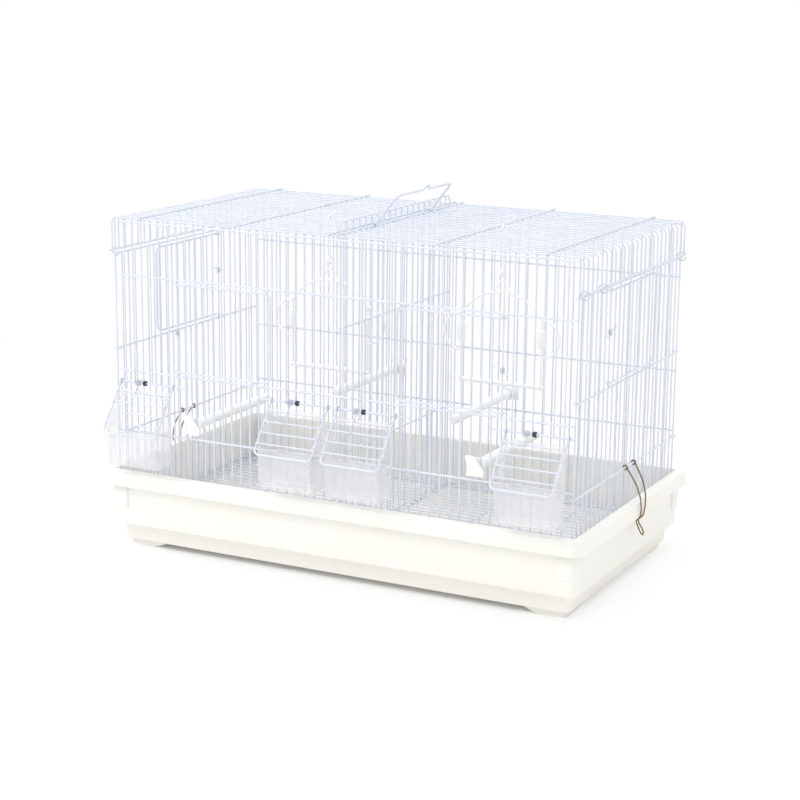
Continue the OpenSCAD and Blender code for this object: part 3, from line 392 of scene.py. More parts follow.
front = bmesh.new()
for k in range(BAYS + 1):
    x = bar_x(k)
    if any(first + 2 <= k <= first + 5 for first in FEEDER_BAYS):
        spans = ((LEDGE_Z, FEEDER_RAIL_Z + PAST), (COVER_RAIL_Z - PAST, HEAD_Z))
    elif any(k in bars for bars in DOOR_BARS):
        spans = ((LEDGE_Z, SILL_Z + PAST), (LINTEL_Z - PAST, HEAD_Z))
    else:
        spans = ((LEDGE_Z, HEAD_Z),)
    for low, high in spans:
        rod(front, (x, FRONT_Y, low), (x, FRONT_Y, high), BAR)
    weld(front, x, FRONT_Y + WELDED / 2, FOOT_RAIL_Z)
    for z in LONG_RAILS:
        weld(front, x, FRONT_Y - WELDED / 2, z)
rail(front, FRONT_Y + WELDED, FOOT_RAIL_Z)
for z in LONG_RAILS:
    rail(front, FRONT_Y - WELDED, z)
for left, right in COVER_RAILS:
    rail(front, FRONT_Y - WELDED, COVER_RAIL_Z, left, right)
    for k in range(BAYS + 1):
        if left < bar_x(k) < right:
            weld(front, bar_x(k), FRONT_Y - WELDED / 2, COVER_RAIL_Z)
trim_ends(front)
fit_wires(front, "front_panel_wires", CAGE, "front_panel")

back = bmesh.new()
for k in range(BAYS + 1):
    x = bar_x(k)
    rod(back, (x, BACK_Y, LEDGE_Z), (x, BACK_Y, HEAD_Z), BAR)
    weld(back, x, BACK_Y - WELDED / 2, FOOT_RAIL_Z)
    for z in LONG_RAILS:
        weld(back, x, BACK_Y + WELDED / 2, z)
rail(back, BACK_Y - WELDED, FOOT_RAIL_Z)
for z in LONG_RAILS:
    rail(back, BACK_Y + WELDED, z)
trim_ends(back)
fit_wires(back, "back_panel_wires", CAGE, "back_panel")

# ---- side panels -----------------------------------------------------------
# Two alike panels close the ends. Their four rails end in eyes wound round the
# corner bars of the front and back, which hinge the cage together for packing.

SIDE_BAYS, SIDE_BAY = 24, 13.0
HOOK_RAIL_Z, SIDE_SILL_Z, SIDE_TOP_Z = 135.0, 238.0, 349.6
SIDE_RAILS = (42.0, HOOK_RAIL_Z, SIDE_SILL_Z, SIDE_TOP_Z)
SIDE_DOOR_BARS = range(8, 17)
EYE, EYE_REACH = 2.4, 1.75  # radius of an eye on a bar, and where its rail starts


def turn_to_left(bm):
    """Turns an end's wires half round, from the right end of the cage to the left."""
    bmesh.ops.rotate(bm, verts=bm.verts, cent=(0, MIDDLE_Y, 0),
                     matrix=Matrix.Rotation(math.pi, 3, "Z"))


for end_name in ("left", "right"):
    side = bmesh.new()
    for i in range(1, SIDE_BAYS):
        y = FRONT_Y + SIDE_BAY * i
        top = PAST + (SIDE_SILL_Z if i in SIDE_DOOR_BARS else SIDE_TOP_Z)
        rod(side, (SIDE_X, y, LEDGE_Z), (SIDE_X, y, top), BAR)
        for z in SIDE_RAILS:
            if z < top:
                weld(side, SIDE_X + WELDED / 2, y, z)
    for z in SIDE_RAILS:
        rod(side, (SIDE_X + WELDED, FRONT_Y + EYE_REACH, z),
            (SIDE_X + WELDED, BACK_Y - EYE_REACH, z), RAIL, 16)
        for y in (FRONT_Y, BACK_Y):
            ring_of_wire(side, (SIDE_X, y, z), (0, 0, 1), EYE, RAIL)
    trim_ends(side)
    if end_name == "left":
        turn_to_left(side)
    fit_wires(side, end_name + "_side_wires", CAGE, end_name + "_side_panel")

# ---- roof ------------------------------------------------------------------
# Roof wires every 13 mm, bent down over both ends, lie under six cross wires;
# the two middle ones leave a slot for the divider. Tails of the cross wires
# stand out behind and wear white caps; coated rings tie the ends to the sides.

ROOF_Z, CROSS_Z = 391.83, 393.47
ROOF_X, ROOF_FOOT, ROOF_BEND = 292.0, 352.4, 7.0  # the bent ends of the roof wires
END_RAIL_Z = 353.6
CROSS_X = (-252.0, -126.0, -5.0, 5.0, 126.0, 252.0)
SLOT_X = 3.89  # where the cut wires start at the slot
TAIL = 8.0  # what a cross wire stands out behind

roof = bmesh.new()
for i in range(SIDE_BAYS + 1):
    y = FRONT_Y + SIDE_BAY * i
    if i in (0, SIDE_BAYS):
        wire(roof, [(-ROOF_X, y, ROOF_FOOT), (-ROOF_X, y, ROOF_Z), (ROOF_X, y, ROOF_Z),
                    (ROOF_X, y, ROOF_FOOT)], BAR, ROOF_BEND)
    else:
        for end in (-1, 1):
            wire(roof, [(end * SLOT_X, y, ROOF_Z), (end * ROOF_X, y, ROOF_Z),
                        (end * ROOF_X, y, ROOF_FOOT)], BAR, ROOF_BEND)
    for x in CROSS_X:
        weld(roof, x, y, (ROOF_Z + CROSS_Z) / 2)
    for end in (-1, 1):
        weld(roof, end * (ROOF_X + WELDED / 2), y, END_RAIL_Z)
for x in CROSS_X:
    rod(roof, (x, FRONT_Y - RAIL, CROSS_Z), (x, BACK_Y + TAIL, CROSS_Z), RAIL, 16)
for end in (-1, 1):
    x = end * (ROOF_X + WELDED)
    rod(roof, (x, FRONT_Y - RAIL, END_RAIL_Z), (x, BACK_Y + RAIL, END_RAIL_Z), RAIL, 16)
trim_ends(roof)
fit_wires(roof, "roof_wires", CAGE, "roof_panel")

# Moulded polypropylene, pure white: softly glossy with a waxy depth, faint
# cloudiness about 30 mm wide, and a skin grain drawn at 1.2 mm so that it shows.
white_polypropylene, tree, shader, place = start_material("white_polypropylene")
veil = add_node(tree, "TexNoise", {"Vector": place, "Scale": 1000 / 30, "Detail": 3.0})
wax = add_node(tree, "Mix", {0: veil, 6: "#FDFDFC", 7: "#F5F6F5"}, data_type="RGBA")
skin = add_node(tree, "TexNoise", {"Vector": place, "Scale": 1000 / 1.2, "Detail": 2.0})
skin_bump = add_node(tree, "Bump", {"Height": skin, "Strength": 0.1, "Distance": 0.0002})
set_inputs(tree, shader, {"Base Color": wax.outputs[2], "Normal": skin_bump, "Roughness": 0.38,
                          "IOR": 1.49, "Subsurface Weight": 0.08,
                          "Subsurface Radius": (0.002, 0.002, 0.002), "Subsurface Scale": 1.0})


def turned_piece(bm, profile, centre, axis, steps=24):
    """A round piece turned from a profile of (radius, distance along the axis)."""
    lie = (Matrix.Translation(Vector(centre))
           @ Vector(axis).to_track_quat("Z", "Y").to_matrix().to_4x4())
    points = [bmesh.ops.create_vert(bm, co=lie @ Vector((r, 0, along)))["vert"][0]
              for r, along in profile]
    edges = [bm.edges.new(pair) for pair in zip(points, points[1:])]
    known = set(bm.verts) - set(points)
    bmesh.ops.spin(bm, geom=points + edges, cent=lie.translation, axis=axis, angle=2 * math.pi,
                   steps=steps, use_merge=True)
    fresh = [v for v in bm.verts if v not in known]
    bmesh.ops.remove_doubles(bm, verts=fresh, dist=0.0005)


def fit_plastic(bm, name, body, node, creased=38.0):
    """Fits a piece that is moulded in white polypropylene."""
    fit_piece(bm, name, body, white_polypropylene, node, creased)


TAIL_CAP = [(0, 6), (1.2, 5.9), (2.0, 5.45), (2.42, 4.7), (2.5, 3.6), (2.5, 0.5), (2.1, 0.0),
            (1.3, 0.0), (1.25, 0.6), (1.25, 4.6), (0, 4.6)]
tail_caps = bmesh.new()
for x in CROSS_X:
    turned_piece(tail_caps, TAIL_CAP, (x, BACK_Y + 3.05, CROSS_Z), (0, 1, 0))
fit_plastic(tail_caps, "roof_tail_caps", CAGE, "roof_wire_caps")

CLIP_WIRE, CLIP_RING, CLIP_Z, CLIP_TURN = 1.8, 4.98, 351.6, math.radians(338)
CLIP_PLACES = (6.5, 58.5, 305.5)  # from the front
clips = bmesh.new()
for end_name in ("left", "right"):
    turned = Matrix.Rotation(math.pi if end_name == "left" else 0.0, 4, "Z")
    about = Matrix.Translation((0, MIDDLE_Y, 0)) @ turned @ Matrix.Translation((0, -MIDDLE_Y, 0))
    for along in CLIP_PLACES:
        centre = about @ Vector((SIDE_X + WELDED + 2.0, FRONT_Y + along, CLIP_Z))
        ring = start_wire(clips, centre + Vector((CLIP_RING, 0, 0)), (0, 0, -1), CLIP_WIRE, 10)
        ring = bend_wire(clips, ring, centre, (0, 1, 0), CLIP_TURN)
        end_wire(clips, ring)
trim_ends(clips)
fit_wires(clips, "ring_clip_wires", CAGE, "ring_clips")

# ---- divider ---------------------------------------------------------------
# A loose grille that drops through the slot in the roof and stands on the
# grate. Its edge wire runs up, over the top with rounded corners and down
# again, and three thinner rails tie its twenty bars.

DIVIDER_X, DIVIDER_RAIL_X, DIVIDER_RAIL = -0.63, -2.09, 2.0
DIVIDER_BARS, DIVIDER_PITCH = 20, 14.6
DIVIDER_HALF = 138.7  # middle of the divider to its edge bars
DIVIDER_FOOT, DIVIDER_TOP, DIVIDER_CORNER = 41.04, 404.47, 9.0
DIVIDER_RAILS = (43.04, FEEDER_RAIL_Z, 286.0)
EDGE_FOOT = 386.5  # lower ends of the wire round the top

divider = bmesh.new()
for i in range(DIVIDER_BARS):
    y = MIDDLE_Y - DIVIDER_HALF + DIVIDER_PITCH * i
    top = DIVIDER_TOP - (DIVIDER_CORNER if i in (0, DIVIDER_BARS - 1) else 0)
    rod(divider, (DIVIDER_X, y, DIVIDER_FOOT), (DIVIDER_X, y, top), BAR)
    for z in DIVIDER_RAILS:
        weld(divider, (DIVIDER_X + DIVIDER_RAIL_X) / 2, y, z)
edge_points = ((-DIVIDER_HALF, EDGE_FOOT), (-DIVIDER_HALF, DIVIDER_TOP),
               (DIVIDER_HALF, DIVIDER_TOP), (DIVIDER_HALF, EDGE_FOOT))
wire(divider, [(DIVIDER_RAIL_X, MIDDLE_Y + y, z) for y, z in edge_points], DIVIDER_RAIL,
     DIVIDER_CORNER)
for z in DIVIDER_RAILS:
    reach = DIVIDER_HALF + BAR / 2
    rod(divider, (DIVIDER_RAIL_X, MIDDLE_Y - reach, z), (DIVIDER_RAIL_X, MIDDLE_Y + reach, z),
        DIVIDER_RAIL)
trim_ends(divider)
fit_wires(divider, "divider_wires", "divider", "divider")

# ---- carrying handle -------------------------------------------------------
# One heavier wire bent to a bail, with a small crook in the middle for a hook.
# Eyes at its feet turn on the roof's cross wire, and it rests leaning over.

HANDLE_WIRE, HANDLE_EYE, HANDLE_LEAN = 3.0, 3.0, math.radians(38.7)
HANDLE_HALF, HANDLE_H, CROOK_H = 69.5, 45.0, 6.0


def move(bm, matrix):
    """Moves a whole mesh to its place."""
    bmesh.ops.transform(bm, verts=bm.verts, matrix=matrix)


handle = bmesh.new()
half_bail = [(HANDLE_HALF, 2.6), (HANDLE_HALF, HANDLE_H), (2.1 + CROOK_H, HANDLE_H),
             (2.1, HANDLE_H + CROOK_H)]
wire(handle, [(0, -y, z) for y, z in half_bail] + [(0, y, z) for y, z in reversed(half_bail)],
     HANDLE_WIRE, 8.0, 16)
for y in (-HANDLE_HALF, HANDLE_HALF):
    ring_of_wire(handle, (0, y, 0), (0, 1, 0), HANDLE_EYE, HANDLE_WIRE, 14)
trim_ends(handle)
move(handle, Matrix.Translation((CROSS_X[3], MIDDLE_Y, CROSS_Z))
     @ Matrix.Rotation(HANDLE_LEAN, 4, "Y"))
fit_wires(handle, "carry_handle_wire", "carry_handle", "carry_handle")

# ---- doors and their springs -----------------------------------------------
# Each door is a wire frame with upright bars, whose two rails end in eyes on a
# bar of the panel. It laps past the opening and is pulled shut by a little
# torsion spring of bright steel, coiled on the same bar.

# Bright spring steel wire, drawn and zinc plated: a cool pale metal, with greyer
# streaks along the draw marks, about 2 mm long.
bright_spring_steel, tree, shader, place = start_material("bright_spring_steel")
streaks = add_node(tree, "TexNoise", {"Vector": place, "Scale": 1000 / 2, "Detail": 3.0})
plating = add_node(tree, "Mix", {0: streaks, 6: "#C4CCD9", 7: "#EEF1F6"}, data_type="RGBA")
set_inputs(tree, shader, {"Base Color": plating.outputs[2], "Metallic": 1.0, "Roughness": 0.32})

DOOR_BAYS, DOOR_START, DOOR_CORNER = 10, 0.86, 8.0
DOOR_FRAME_Y, DOOR_BAR_Y, DOOR_WELD_Y = -2.24, -0.60, -1.42
SPRING_RING, SPRING_PITCH, SPRING_WIRE, SPRING_TURNS = 2.18, 1.5, 0.9, 4
SPRING_SHIFT = 5.0  # front springs sit below, and side ones above, their doors' middles
# spacing of the bars, reach from the hinge, and heights of the two rails
FRONT_DOOR = (BAY, 124.5, 219.0, 321.0)
SIDE_DOOR = (SIDE_BAY, 134.5, 243.0, 344.6)


def door_frame(bm, pitch, reach, low, high):
    """A door turning about the origin: bars inside, frame outside, at -Y."""
    wire(bm, [(DOOR_START, DOOR_FRAME_Y, low), (reach, DOOR_FRAME_Y, low),
              (reach, DOOR_FRAME_Y, high), (DOOR_START, DOOR_FRAME_Y, high)], RAIL, DOOR_CORNER, 14)
    for z in (low, high):
        ring_of_wire(bm, (0, 0, z), (0, 0, 1), EYE, RAIL)
    for i in range(1, DOOR_BAYS):
        x = i * pitch
        rod(bm, (x, DOOR_BAR_Y, low - PAST), (x, DOOR_BAR_Y, high + PAST), BAR)
        for z in (low, high):
            weld(bm, x, DOOR_WELD_Y, z)
    trim_ends(bm)


def door_spring(bm, pitch, z):
    """Four coils about the origin, one arm on the panel and one on the door."""
    arm = pitch + BAR
    rise = SPRING_TURNS * SPRING_PITCH
    low = z - rise / 2
    ring = start_wire(bm, (-arm, -SPRING_RING, low), (1, 0, 0), SPRING_WIRE, 8)
    ring = run_wire(bm, ring, (arm, 0, 0))
    ring = bend_wire(bm, ring, (0, 0, low), (0, 0, 1), SPRING_TURNS * 2 * math.pi, rise)
    ring = run_wire(bm, ring, (arm, 0, 0))
    end_wire(bm, ring)


front_hinge_x, side_hinge_y = 204.0, 91.0
front_left = Matrix.Translation((-front_hinge_x, FRONT_Y, 0))
front_right = Matrix.Translation((front_hinge_x, FRONT_Y, 0)) @ Matrix.Diagonal((-1, 1, 1, 1))
side_right = (Matrix.Translation((SIDE_X, FRONT_Y + side_hinge_y, 0))
              @ Matrix.Rotation(math.pi / 2, 4, "Z"))
side_left = (Matrix.Translation((-SIDE_X, BACK_Y - side_hinge_y, 0))
             @ Matrix.Rotation(-math.pi / 2, 4, "Z"))
for face, end_name, (pitch, reach, low, high), shift, place_of in (
        ("front", "left", FRONT_DOOR, -SPRING_SHIFT, front_left),
        ("front", "right", FRONT_DOOR, -SPRING_SHIFT, front_right),
        ("side", "left", SIDE_DOOR, SPRING_SHIFT, side_left),
        ("side", "right", SIDE_DOOR, SPRING_SHIFT, side_right)):
    door_name, spring_name = face + "_door_" + end_name, face + "_door_spring_" + end_name
    door = bmesh.new()
    door_frame(door, pitch, reach, low, high)
    move(door, place_of)
    fit_wires(door, door_name + "_wires", door_name, door_name)
    spring = bmesh.new()
    door_spring(spring, pitch, (low + high) / 2 + shift)
    move(spring, place_of)
    fit_piece(spring, spring_name + "_coil", CAGE, bright_spring_steel,
              spring_name)

# ---- feeder cups -----------------------------------------------------------
# Four clear polystyrene cups hang by two lugs on the front rail, sloped under
# their covers and open to the birds at the back. They are injection moulded,
# with thin walls and rounded edges.

SLOPE = math.radians(52.8)
FEEDER_X = (-246.0, -42.0, 42.0, 246.0)
CUP_HALF, CUP_WALL = 34.0, 1.5
CUP_BACK, CUP_FRONT = FRONT_Y - 3.2, FRONT_Y - 36.0
CUP_FOOT, CUP_SILL = 106.0, 144.8  # its bottom, and the top of its back under the rail
CUP_HEAD, CUP_LIP, STRIP_END = 8.8, 61.8, 18.2  # places down the slope from the hinge
CHEEK_OFF = 0.5  # the cheeks' top edges off the cover's plane
STRIP_HALF, LUG_WIDTH = 32.6, 6.0
LUG_HOOK, LUG_TOP, LUG_UNDER, LUG_TIP = 1.3, 144.5, 142.95, 138.2

# Crystal polystyrene: glossy, with a milky veil of a very faint violet cast, and
# moulding waves of about 12 mm that bend the highlights a little.
crystal_polystyrene, tree, shader, place = start_material("crystal_polystyrene")
waves = add_node(tree, "TexNoise", {"Vector": place, "Scale": 1000 / 12, "Detail": 1.0})
wave_bump = add_node(tree, "Bump", {"Height": waves, "Strength": 0.04, "Distance": 0.0006})
haze = add_node(tree, "MapRange", {"Value": waves, "To Min": 0.06, "To Max": 0.12})
set_inputs(tree, shader, {"Normal": wave_bump, "Roughness": haze, "Base Color": "#FDFCFF",
                          "Transmission Weight": 0.6, "IOR": 1.45, "Alpha": 0.3})


def beside_cover(along, off):
    """A point in a cup's side view, (y, z), from its place down and off the cover."""
    return (FRONT_Y - (WELDED + along * math.cos(SLOPE) + off * math.sin(SLOPE)),
            COVER_RAIL_Z - along * math.sin(SLOPE) + off * math.cos(SLOPE))


def prism(bm, corners, travel, rounded=0, radius=0.0, segments=6):
    """A flat outline, its first few corners rounded, drawn out to a solid; gives its faces."""
    known = set(bm.faces)
    verts = [bmesh.ops.create_vert(bm, co=corner)["vert"][0] for corner in corners]
    bmesh.ops.contextual_create(bm, geom=verts)
    if rounded:
        bmesh.ops.bevel(bm, geom=verts[:rounded], offset=radius, segments=segments, profile=0.5,
                        affect="VERTICES")
    outlined = [f for f in bm.faces if f not in known]
    made = bmesh.ops.extrude_face_region(bm, geom=outlined, use_keep_orig=True)["geom"]
    bmesh.ops.translate(bm, verts=[g for g in made if isinstance(g, bmesh.types.BMVert)],
                        vec=travel)
    fresh = [f for f in bm.faces if f not in known]
    bmesh.ops.recalc_face_normals(bm, faces=fresh)
    return fresh


head, lip = beside_cover(CUP_HEAD, CHEEK_OFF), beside_cover(CUP_LIP, CHEEK_OFF)
CHEEK = [(CUP_BACK, CUP_FOOT), (CUP_FRONT, CUP_FOOT), lip, head, (CUP_BACK, head[1]),
         (CUP_BACK, CUP_SILL)]
STRIP = [beside_cover(CUP_HEAD, CHEEK_OFF), beside_cover(STRIP_END, CHEEK_OFF),
         beside_cover(STRIP_END, CHEEK_OFF - 1.6), beside_cover(CUP_HEAD, CHEEK_OFF - 1.6)]
LUG = [(CUP_BACK - 1.0, LUG_TOP), (CUP_BACK - 1.0, LUG_UNDER), (FRONT_Y - 0.25, LUG_UNDER),
       (FRONT_Y - 0.25, LUG_TIP), (FRONT_Y + LUG_HOOK, LUG_TIP), (FRONT_Y + LUG_HOOK, LUG_TOP)]
slant = Vector((0, -math.sin(SLOPE), math.cos(SLOPE)))

for number, feeder_x in enumerate(FEEDER_X, 1):
    cup = bmesh.new()
    prism(cup, [(feeder_x - CUP_HALF, y, z) for y, z in CHEEK], (2 * CUP_HALF, 0, 0), 2, 6.0)
    # the slanting top and the back above the rail stay open
    open_faces = [f for f in cup.faces
                  if f.normal.dot(slant) > 0.99
                  or (f.normal.y > 0.99 and f.calc_center_median().z > CUP_SILL)
                  or (f.normal.z > 0.99 and f.calc_center_median().z > 190.0)]
    bmesh.ops.delete(cup, geom=open_faces, context="FACES")
    corner_edges = [e for e in cup.edges if len(e.link_faces) == 2
                    and e.calc_face_angle() > math.radians(60)
                    and all(abs(abs(v.co.x - feeder_x) - CUP_HALF) < 0.01 for v in e.verts)]
    bmesh.ops.bevel(cup, geom=corner_edges, offset=2.4, segments=4, profile=0.5, affect="EDGES")
    bmesh.ops.recalc_face_normals(cup, faces=cup.faces)
    bmesh.ops.solidify(cup, geom=cup.faces[:], thickness=CUP_WALL)
    # a strip closes the top edge under the hinge, and two lugs go over the rail
    for shape, start, width in ((STRIP, -STRIP_HALF, 2 * STRIP_HALF),
                                (LUG, -27.0, LUG_WIDTH), (LUG, 21.0, LUG_WIDTH)):
        fresh = prism(cup, [(feeder_x + start, y, z) for y, z in shape], (width, 0, 0))
        bmesh.ops.bevel(cup, geom=list({e for f in fresh for e in f.edges}), offset=0.35,
                        segments=2, profile=0.5, affect="EDGES")
    fit_piece(cup, "feeder_cup_%d_moulding" % number, CAGE, crystal_polystyrene,
              "feeder_cup_%d" % number)

# ---- feeder covers, springs and collars ------------------------------------
# A ladder of wire lies over each cup and lifts on eyes that turn on the cover
# rail. A torsion spring on the rail presses it down, with one arm behind the
# rail above and one along the cover. A small near-black collar beside the coil
# marks the dark spot of shade there: painted shade, made as a part.

COVER_HALF, COVER_REACH, COVER_CORNER, COVER_EYE = 36.0, 67.0, 6.0, 2.7
COVER_RUNGS = (13.5, 27.0, 40.5, 54.0)
COVER_SPRING_X = -BAY  # one bay to the left of the feeder's middle
COIL_RING, COIL_WIDTH, COIL_TURN = 3.22, 6.0, math.radians(1402.8)
ARM_Y, ARM_TOP, ARM_LENGTH = -1.86, 15.9, 32.4
SHADE_COLLAR_X = 7.2  # from the spring's middle to the collar
SHADE_COLLAR = [(1.5, 0.0), (2.6, 0.0), (3.0, 0.5), (3.0, 3.5), (2.6, 4.0), (1.5, 4.0), (1.5, 0.0)]

# Soft polyethylene, injection moulded in navy, nearly black: matt, with a
# fine grain of about 0.8 mm. Its near-black stands for the shade by the springs: painted shade.
navy_shade_polyethylene, tree, shader, place = start_material("navy_shade_polyethylene")
fleck = add_node(tree, "TexNoise", {"Vector": place, "Scale": 1000 / 0.8, "Detail": 2.0})
navy = add_node(tree, "Mix", {0: fleck, 6: "#232B45", 7: "#33405F"}, data_type="RGBA")
set_inputs(tree, shader, {"Base Color": navy.outputs[2], "Roughness": 0.48, "IOR": 1.51})

collars = bmesh.new()
for number, feeder_x in enumerate(FEEDER_X, 1):
    on_rail = Vector((feeder_x, FRONT_Y - WELDED, COVER_RAIL_Z))
    cover = bmesh.new()
    wire(cover, [(-COVER_HALF, -2.6, 0), (-COVER_HALF, -COVER_REACH, 0),
                 (COVER_HALF, -COVER_REACH, 0), (COVER_HALF, -2.6, 0)], RAIL, COVER_CORNER, 14)
    for x in (-COVER_HALF, COVER_HALF):
        ring_of_wire(cover, (x, 0, 0), (1, 0, 0), COVER_EYE, RAIL, 12)
    for along in COVER_RUNGS:
        reach = COVER_HALF + BAR / 2
        rod(cover, (-reach, -along, WELDED), (reach, -along, WELDED), BAR)
        for x in (-COVER_HALF, COVER_HALF):
            weld(cover, x, -along, WELDED / 2)
    trim_ends(cover)
    move(cover, Matrix.Translation(on_rail) @ Matrix.Rotation(SLOPE, 4, "X"))
    fit_wires(cover, "feeder_cover_%d_wires" % number, "feeder_cover_%d" % number,
              "feeder_cover_%d" % number)

    spring = bmesh.new()
    ring = start_wire(spring, (-COIL_WIDTH / 2, ARM_Y, ARM_TOP), (0, 0, -1), SPRING_WIRE, 8)
    ring = run_wire(spring, ring, (0, 0, -4.8))
    ring = run_wire(spring, ring, (0, -ARM_Y - COIL_RING, -8.7))
    ring = run_wire(spring, ring, (0, 0, -RAIL))
    ring = bend_wire(spring, ring, (-COIL_WIDTH / 2, 0, 0), (1, 0, 0), COIL_TURN, COIL_WIDTH)
    ring = run_wire(spring, ring, Vector((0, -math.cos(SLOPE), -math.sin(SLOPE))) * ARM_LENGTH)
    end_wire(spring, ring)
    move(spring, Matrix.Translation(on_rail + Vector((COVER_SPRING_X, 0, 0))))
    fit_piece(spring, "feeder_spring_%d_coil" % number, CAGE, bright_spring_steel,
              "feeder_spring_%d" % number)

    # a near-black collar beside the coil, where shade falls by the spring: painted shade made as a
    # part
    turned_piece(collars, SHADE_COLLAR, on_rail + Vector((COVER_SPRING_X + SHADE_COLLAR_X, 0, 0)), (1, 0, 0))
fit_piece(collars, "feeder_shade_collar_mouldings", CAGE, navy_shade_polyethylene,
          "feeder_collars")

# ---- perches and their caps ------------------------------------------------
# Four fluted plastic perches reach a little over half way across the cage: the
# outer two from the front, the inner two from the back. Each is pressed into a
# white cap, whose two plates grip the bars; the outer one is notched.

# (x, height, and whether it is clipped to the front panel)
PERCHES = ((-186.0, 157.0, True), (-78.0, 180.0, False), (78.0, 165.0, False),
           (174.0, 156.0, True))
PERCH, FLUTE = 11.6, 0.955  # thickness, and a flute's share of it
PERCH_START = 3.7  # from the bars' middles to the perch's end
PERCH_RUN = ((161.0, 1.0), (1.6, 0.93), (1.0, 0.8), (0.4, 0.6))  # (length, narrower)
# (across, up) from the perch's axis: the outer plate has its upper right corner
# cut off aslant, and a notch from below beside its left foot
OUTER_PLATE = [(11.5, -10.4), (11.5, -3.0), (-0.4, 12.0), (-11.6, 12.0), (-11.2, -10.4)]
NOTCH = [(-7.4, -10.4), (-7.4, -3.2), (-4.4, -3.2), (-4.4, -10.4)]
INNER_PLATE = [(10.5, -10.0), (10.5, 10.0), (-10.5, 10.0), (-10.5, -10.0)]
WEB = [(4.7, -4.7), (4.7, 4.7), (-4.7, 4.7), (-4.7, -4.7)]
PLATE_THICK, WEB_THICK = 1.5, 2.8
OUTER_Y, WEB_Y, INNER_Y, SOCKET_Y = -2.7, -1.4, 1.2, 2.6  # from the bars' middles, inwards
STUD = [(0, -0.3), (1.3, -0.3), (1.6, 0.3), (2.2, 0.3), (2.6, -0.3), (2.6, -0.5), (0, -0.5)]
SOCKET = [(0, 0), (7.5, 0), (7.6, 0.3), (7.4, 9.3), (7.1, 9.9), (6.4, 10.0), (5.9, 9.6),
          (5.9, 1.0), (0, 1.0)]


def cap_plate(bm, corners, notch, thick, y, centre):
    """A plate square to Y with rounded corners; the notch's corners stay square."""
    plate = bmesh.new()
    prism(plate, [(x, y, z) for x, z in corners + notch], (0, thick, 0), len(corners), 2.6, 5)
    soften(plate, 0.35, 2, 50.0)
    move(plate, centre)
    add_part(bm, plate)


caps = bmesh.new()
for number, (x, z, at_front) in enumerate(PERCHES, 1):
    bars_y, inward = (FRONT_Y, 1) if at_front else (BACK_Y, -1)
    perch = bmesh.new()
    hub = Vector((x, bars_y + inward * PERCH_START, z))
    ring = start_wire(perch, hub, (0, 1, 0), PERCH, 40)
    rim = sorted({v for e in ring for v in e.verts},
                 key=lambda v: math.atan2(v.co.z - z, v.co.x - x))
    for flute in rim[::2]:
        flute.co = hub + (flute.co - hub) * FLUTE
    for travel, narrower in PERCH_RUN:
        ring = run_wire(perch, ring, (0, inward * travel, 0))
        rim = list({v for e in ring for v in e.verts})
        bmesh.ops.scale(perch, verts=rim, vec=(narrower, 1, narrower),
                        space=Matrix.Translation((-x, 0, -z)))
    end_wire(perch, ring)
    fit_plastic(perch, "perch_%d_rod" % number, CAGE, "perch_%d" % number,
                creased=60.0)
    centre = (Matrix.Translation((x, bars_y, z))
              @ Matrix.Rotation(0 if at_front else math.pi, 4, "Z"))
    cap_plate(caps, OUTER_PLATE, NOTCH, PLATE_THICK, OUTER_Y, centre)
    cap_plate(caps, INNER_PLATE, [], PLATE_THICK, INNER_Y, centre)
    cap_plate(caps, WEB, [], WEB_THICK, WEB_Y, centre)
    turned_piece(caps, STUD, centre @ Vector((0, OUTER_Y, 0)), (0, -inward, 0), 20)
    turned_piece(caps, SOCKET, centre @ Vector((0, SOCKET_Y, 0)), (0, inward, 0), 32)
fit_plastic(caps, "perch_cap_mouldings", CAGE, "perch_caps")

# ---- swings ----------------------------------------------------------------
# Two swings hang from roof wires: a long hook, and a frame moulded in one
# piece with an arch, two side stems and a loop at each side. The bar is
# pressed on, and a bead sits on each stem.

# (name, x, y); heights below are measured down from the roof wires
SWINGS = (("left", -77.0, FRONT_Y + 130.0), ("right", 132.0, FRONT_Y + 156.0))
SWING_HALF, SWING_BAR_HALF, SWING_BAR_Z, BEAD_Z = 50, 53, -179, -134
HOOK_STEM, SIDE_STEM = (-2.4, -46.1), (-100.0, -179.5)
LOOP_TOP, LOOP_MIDDLE = -101, -123
STRUT = ((12, -73.8), (1.4, -60.6))  # from the arch to the link
ROOF_RING, LINK, LINK_GAUGE = 2.33, 4.5, 2.2
HOOK_LINK_Z, FRAME_LINK_Z = -50.5, -56.5
ARCH_R, ARCH_Z, FRAME_GAUGE = 58.64, -131.64, 3.0
SWING_BAR = [(0, 0), (2.2, 0.1), (2.85, 0.9), (3.0, 2.0), (3.0, 4.5), (2.75, 5.5), (2.75, 100.5),
             (3.0, 101.5), (3.0, 104.0), (2.85, 105.1), (2.2, 105.9), (0, 106)]
BEAD = [(1.6, 0), (3.4, 0.1), (4.5, 0.9), (4.9, 2.4), (5.0, 11.0), (4.9, 19.6), (4.5, 21.1),
        (3.4, 21.9), (1.6, 22), (1.6, 0)]

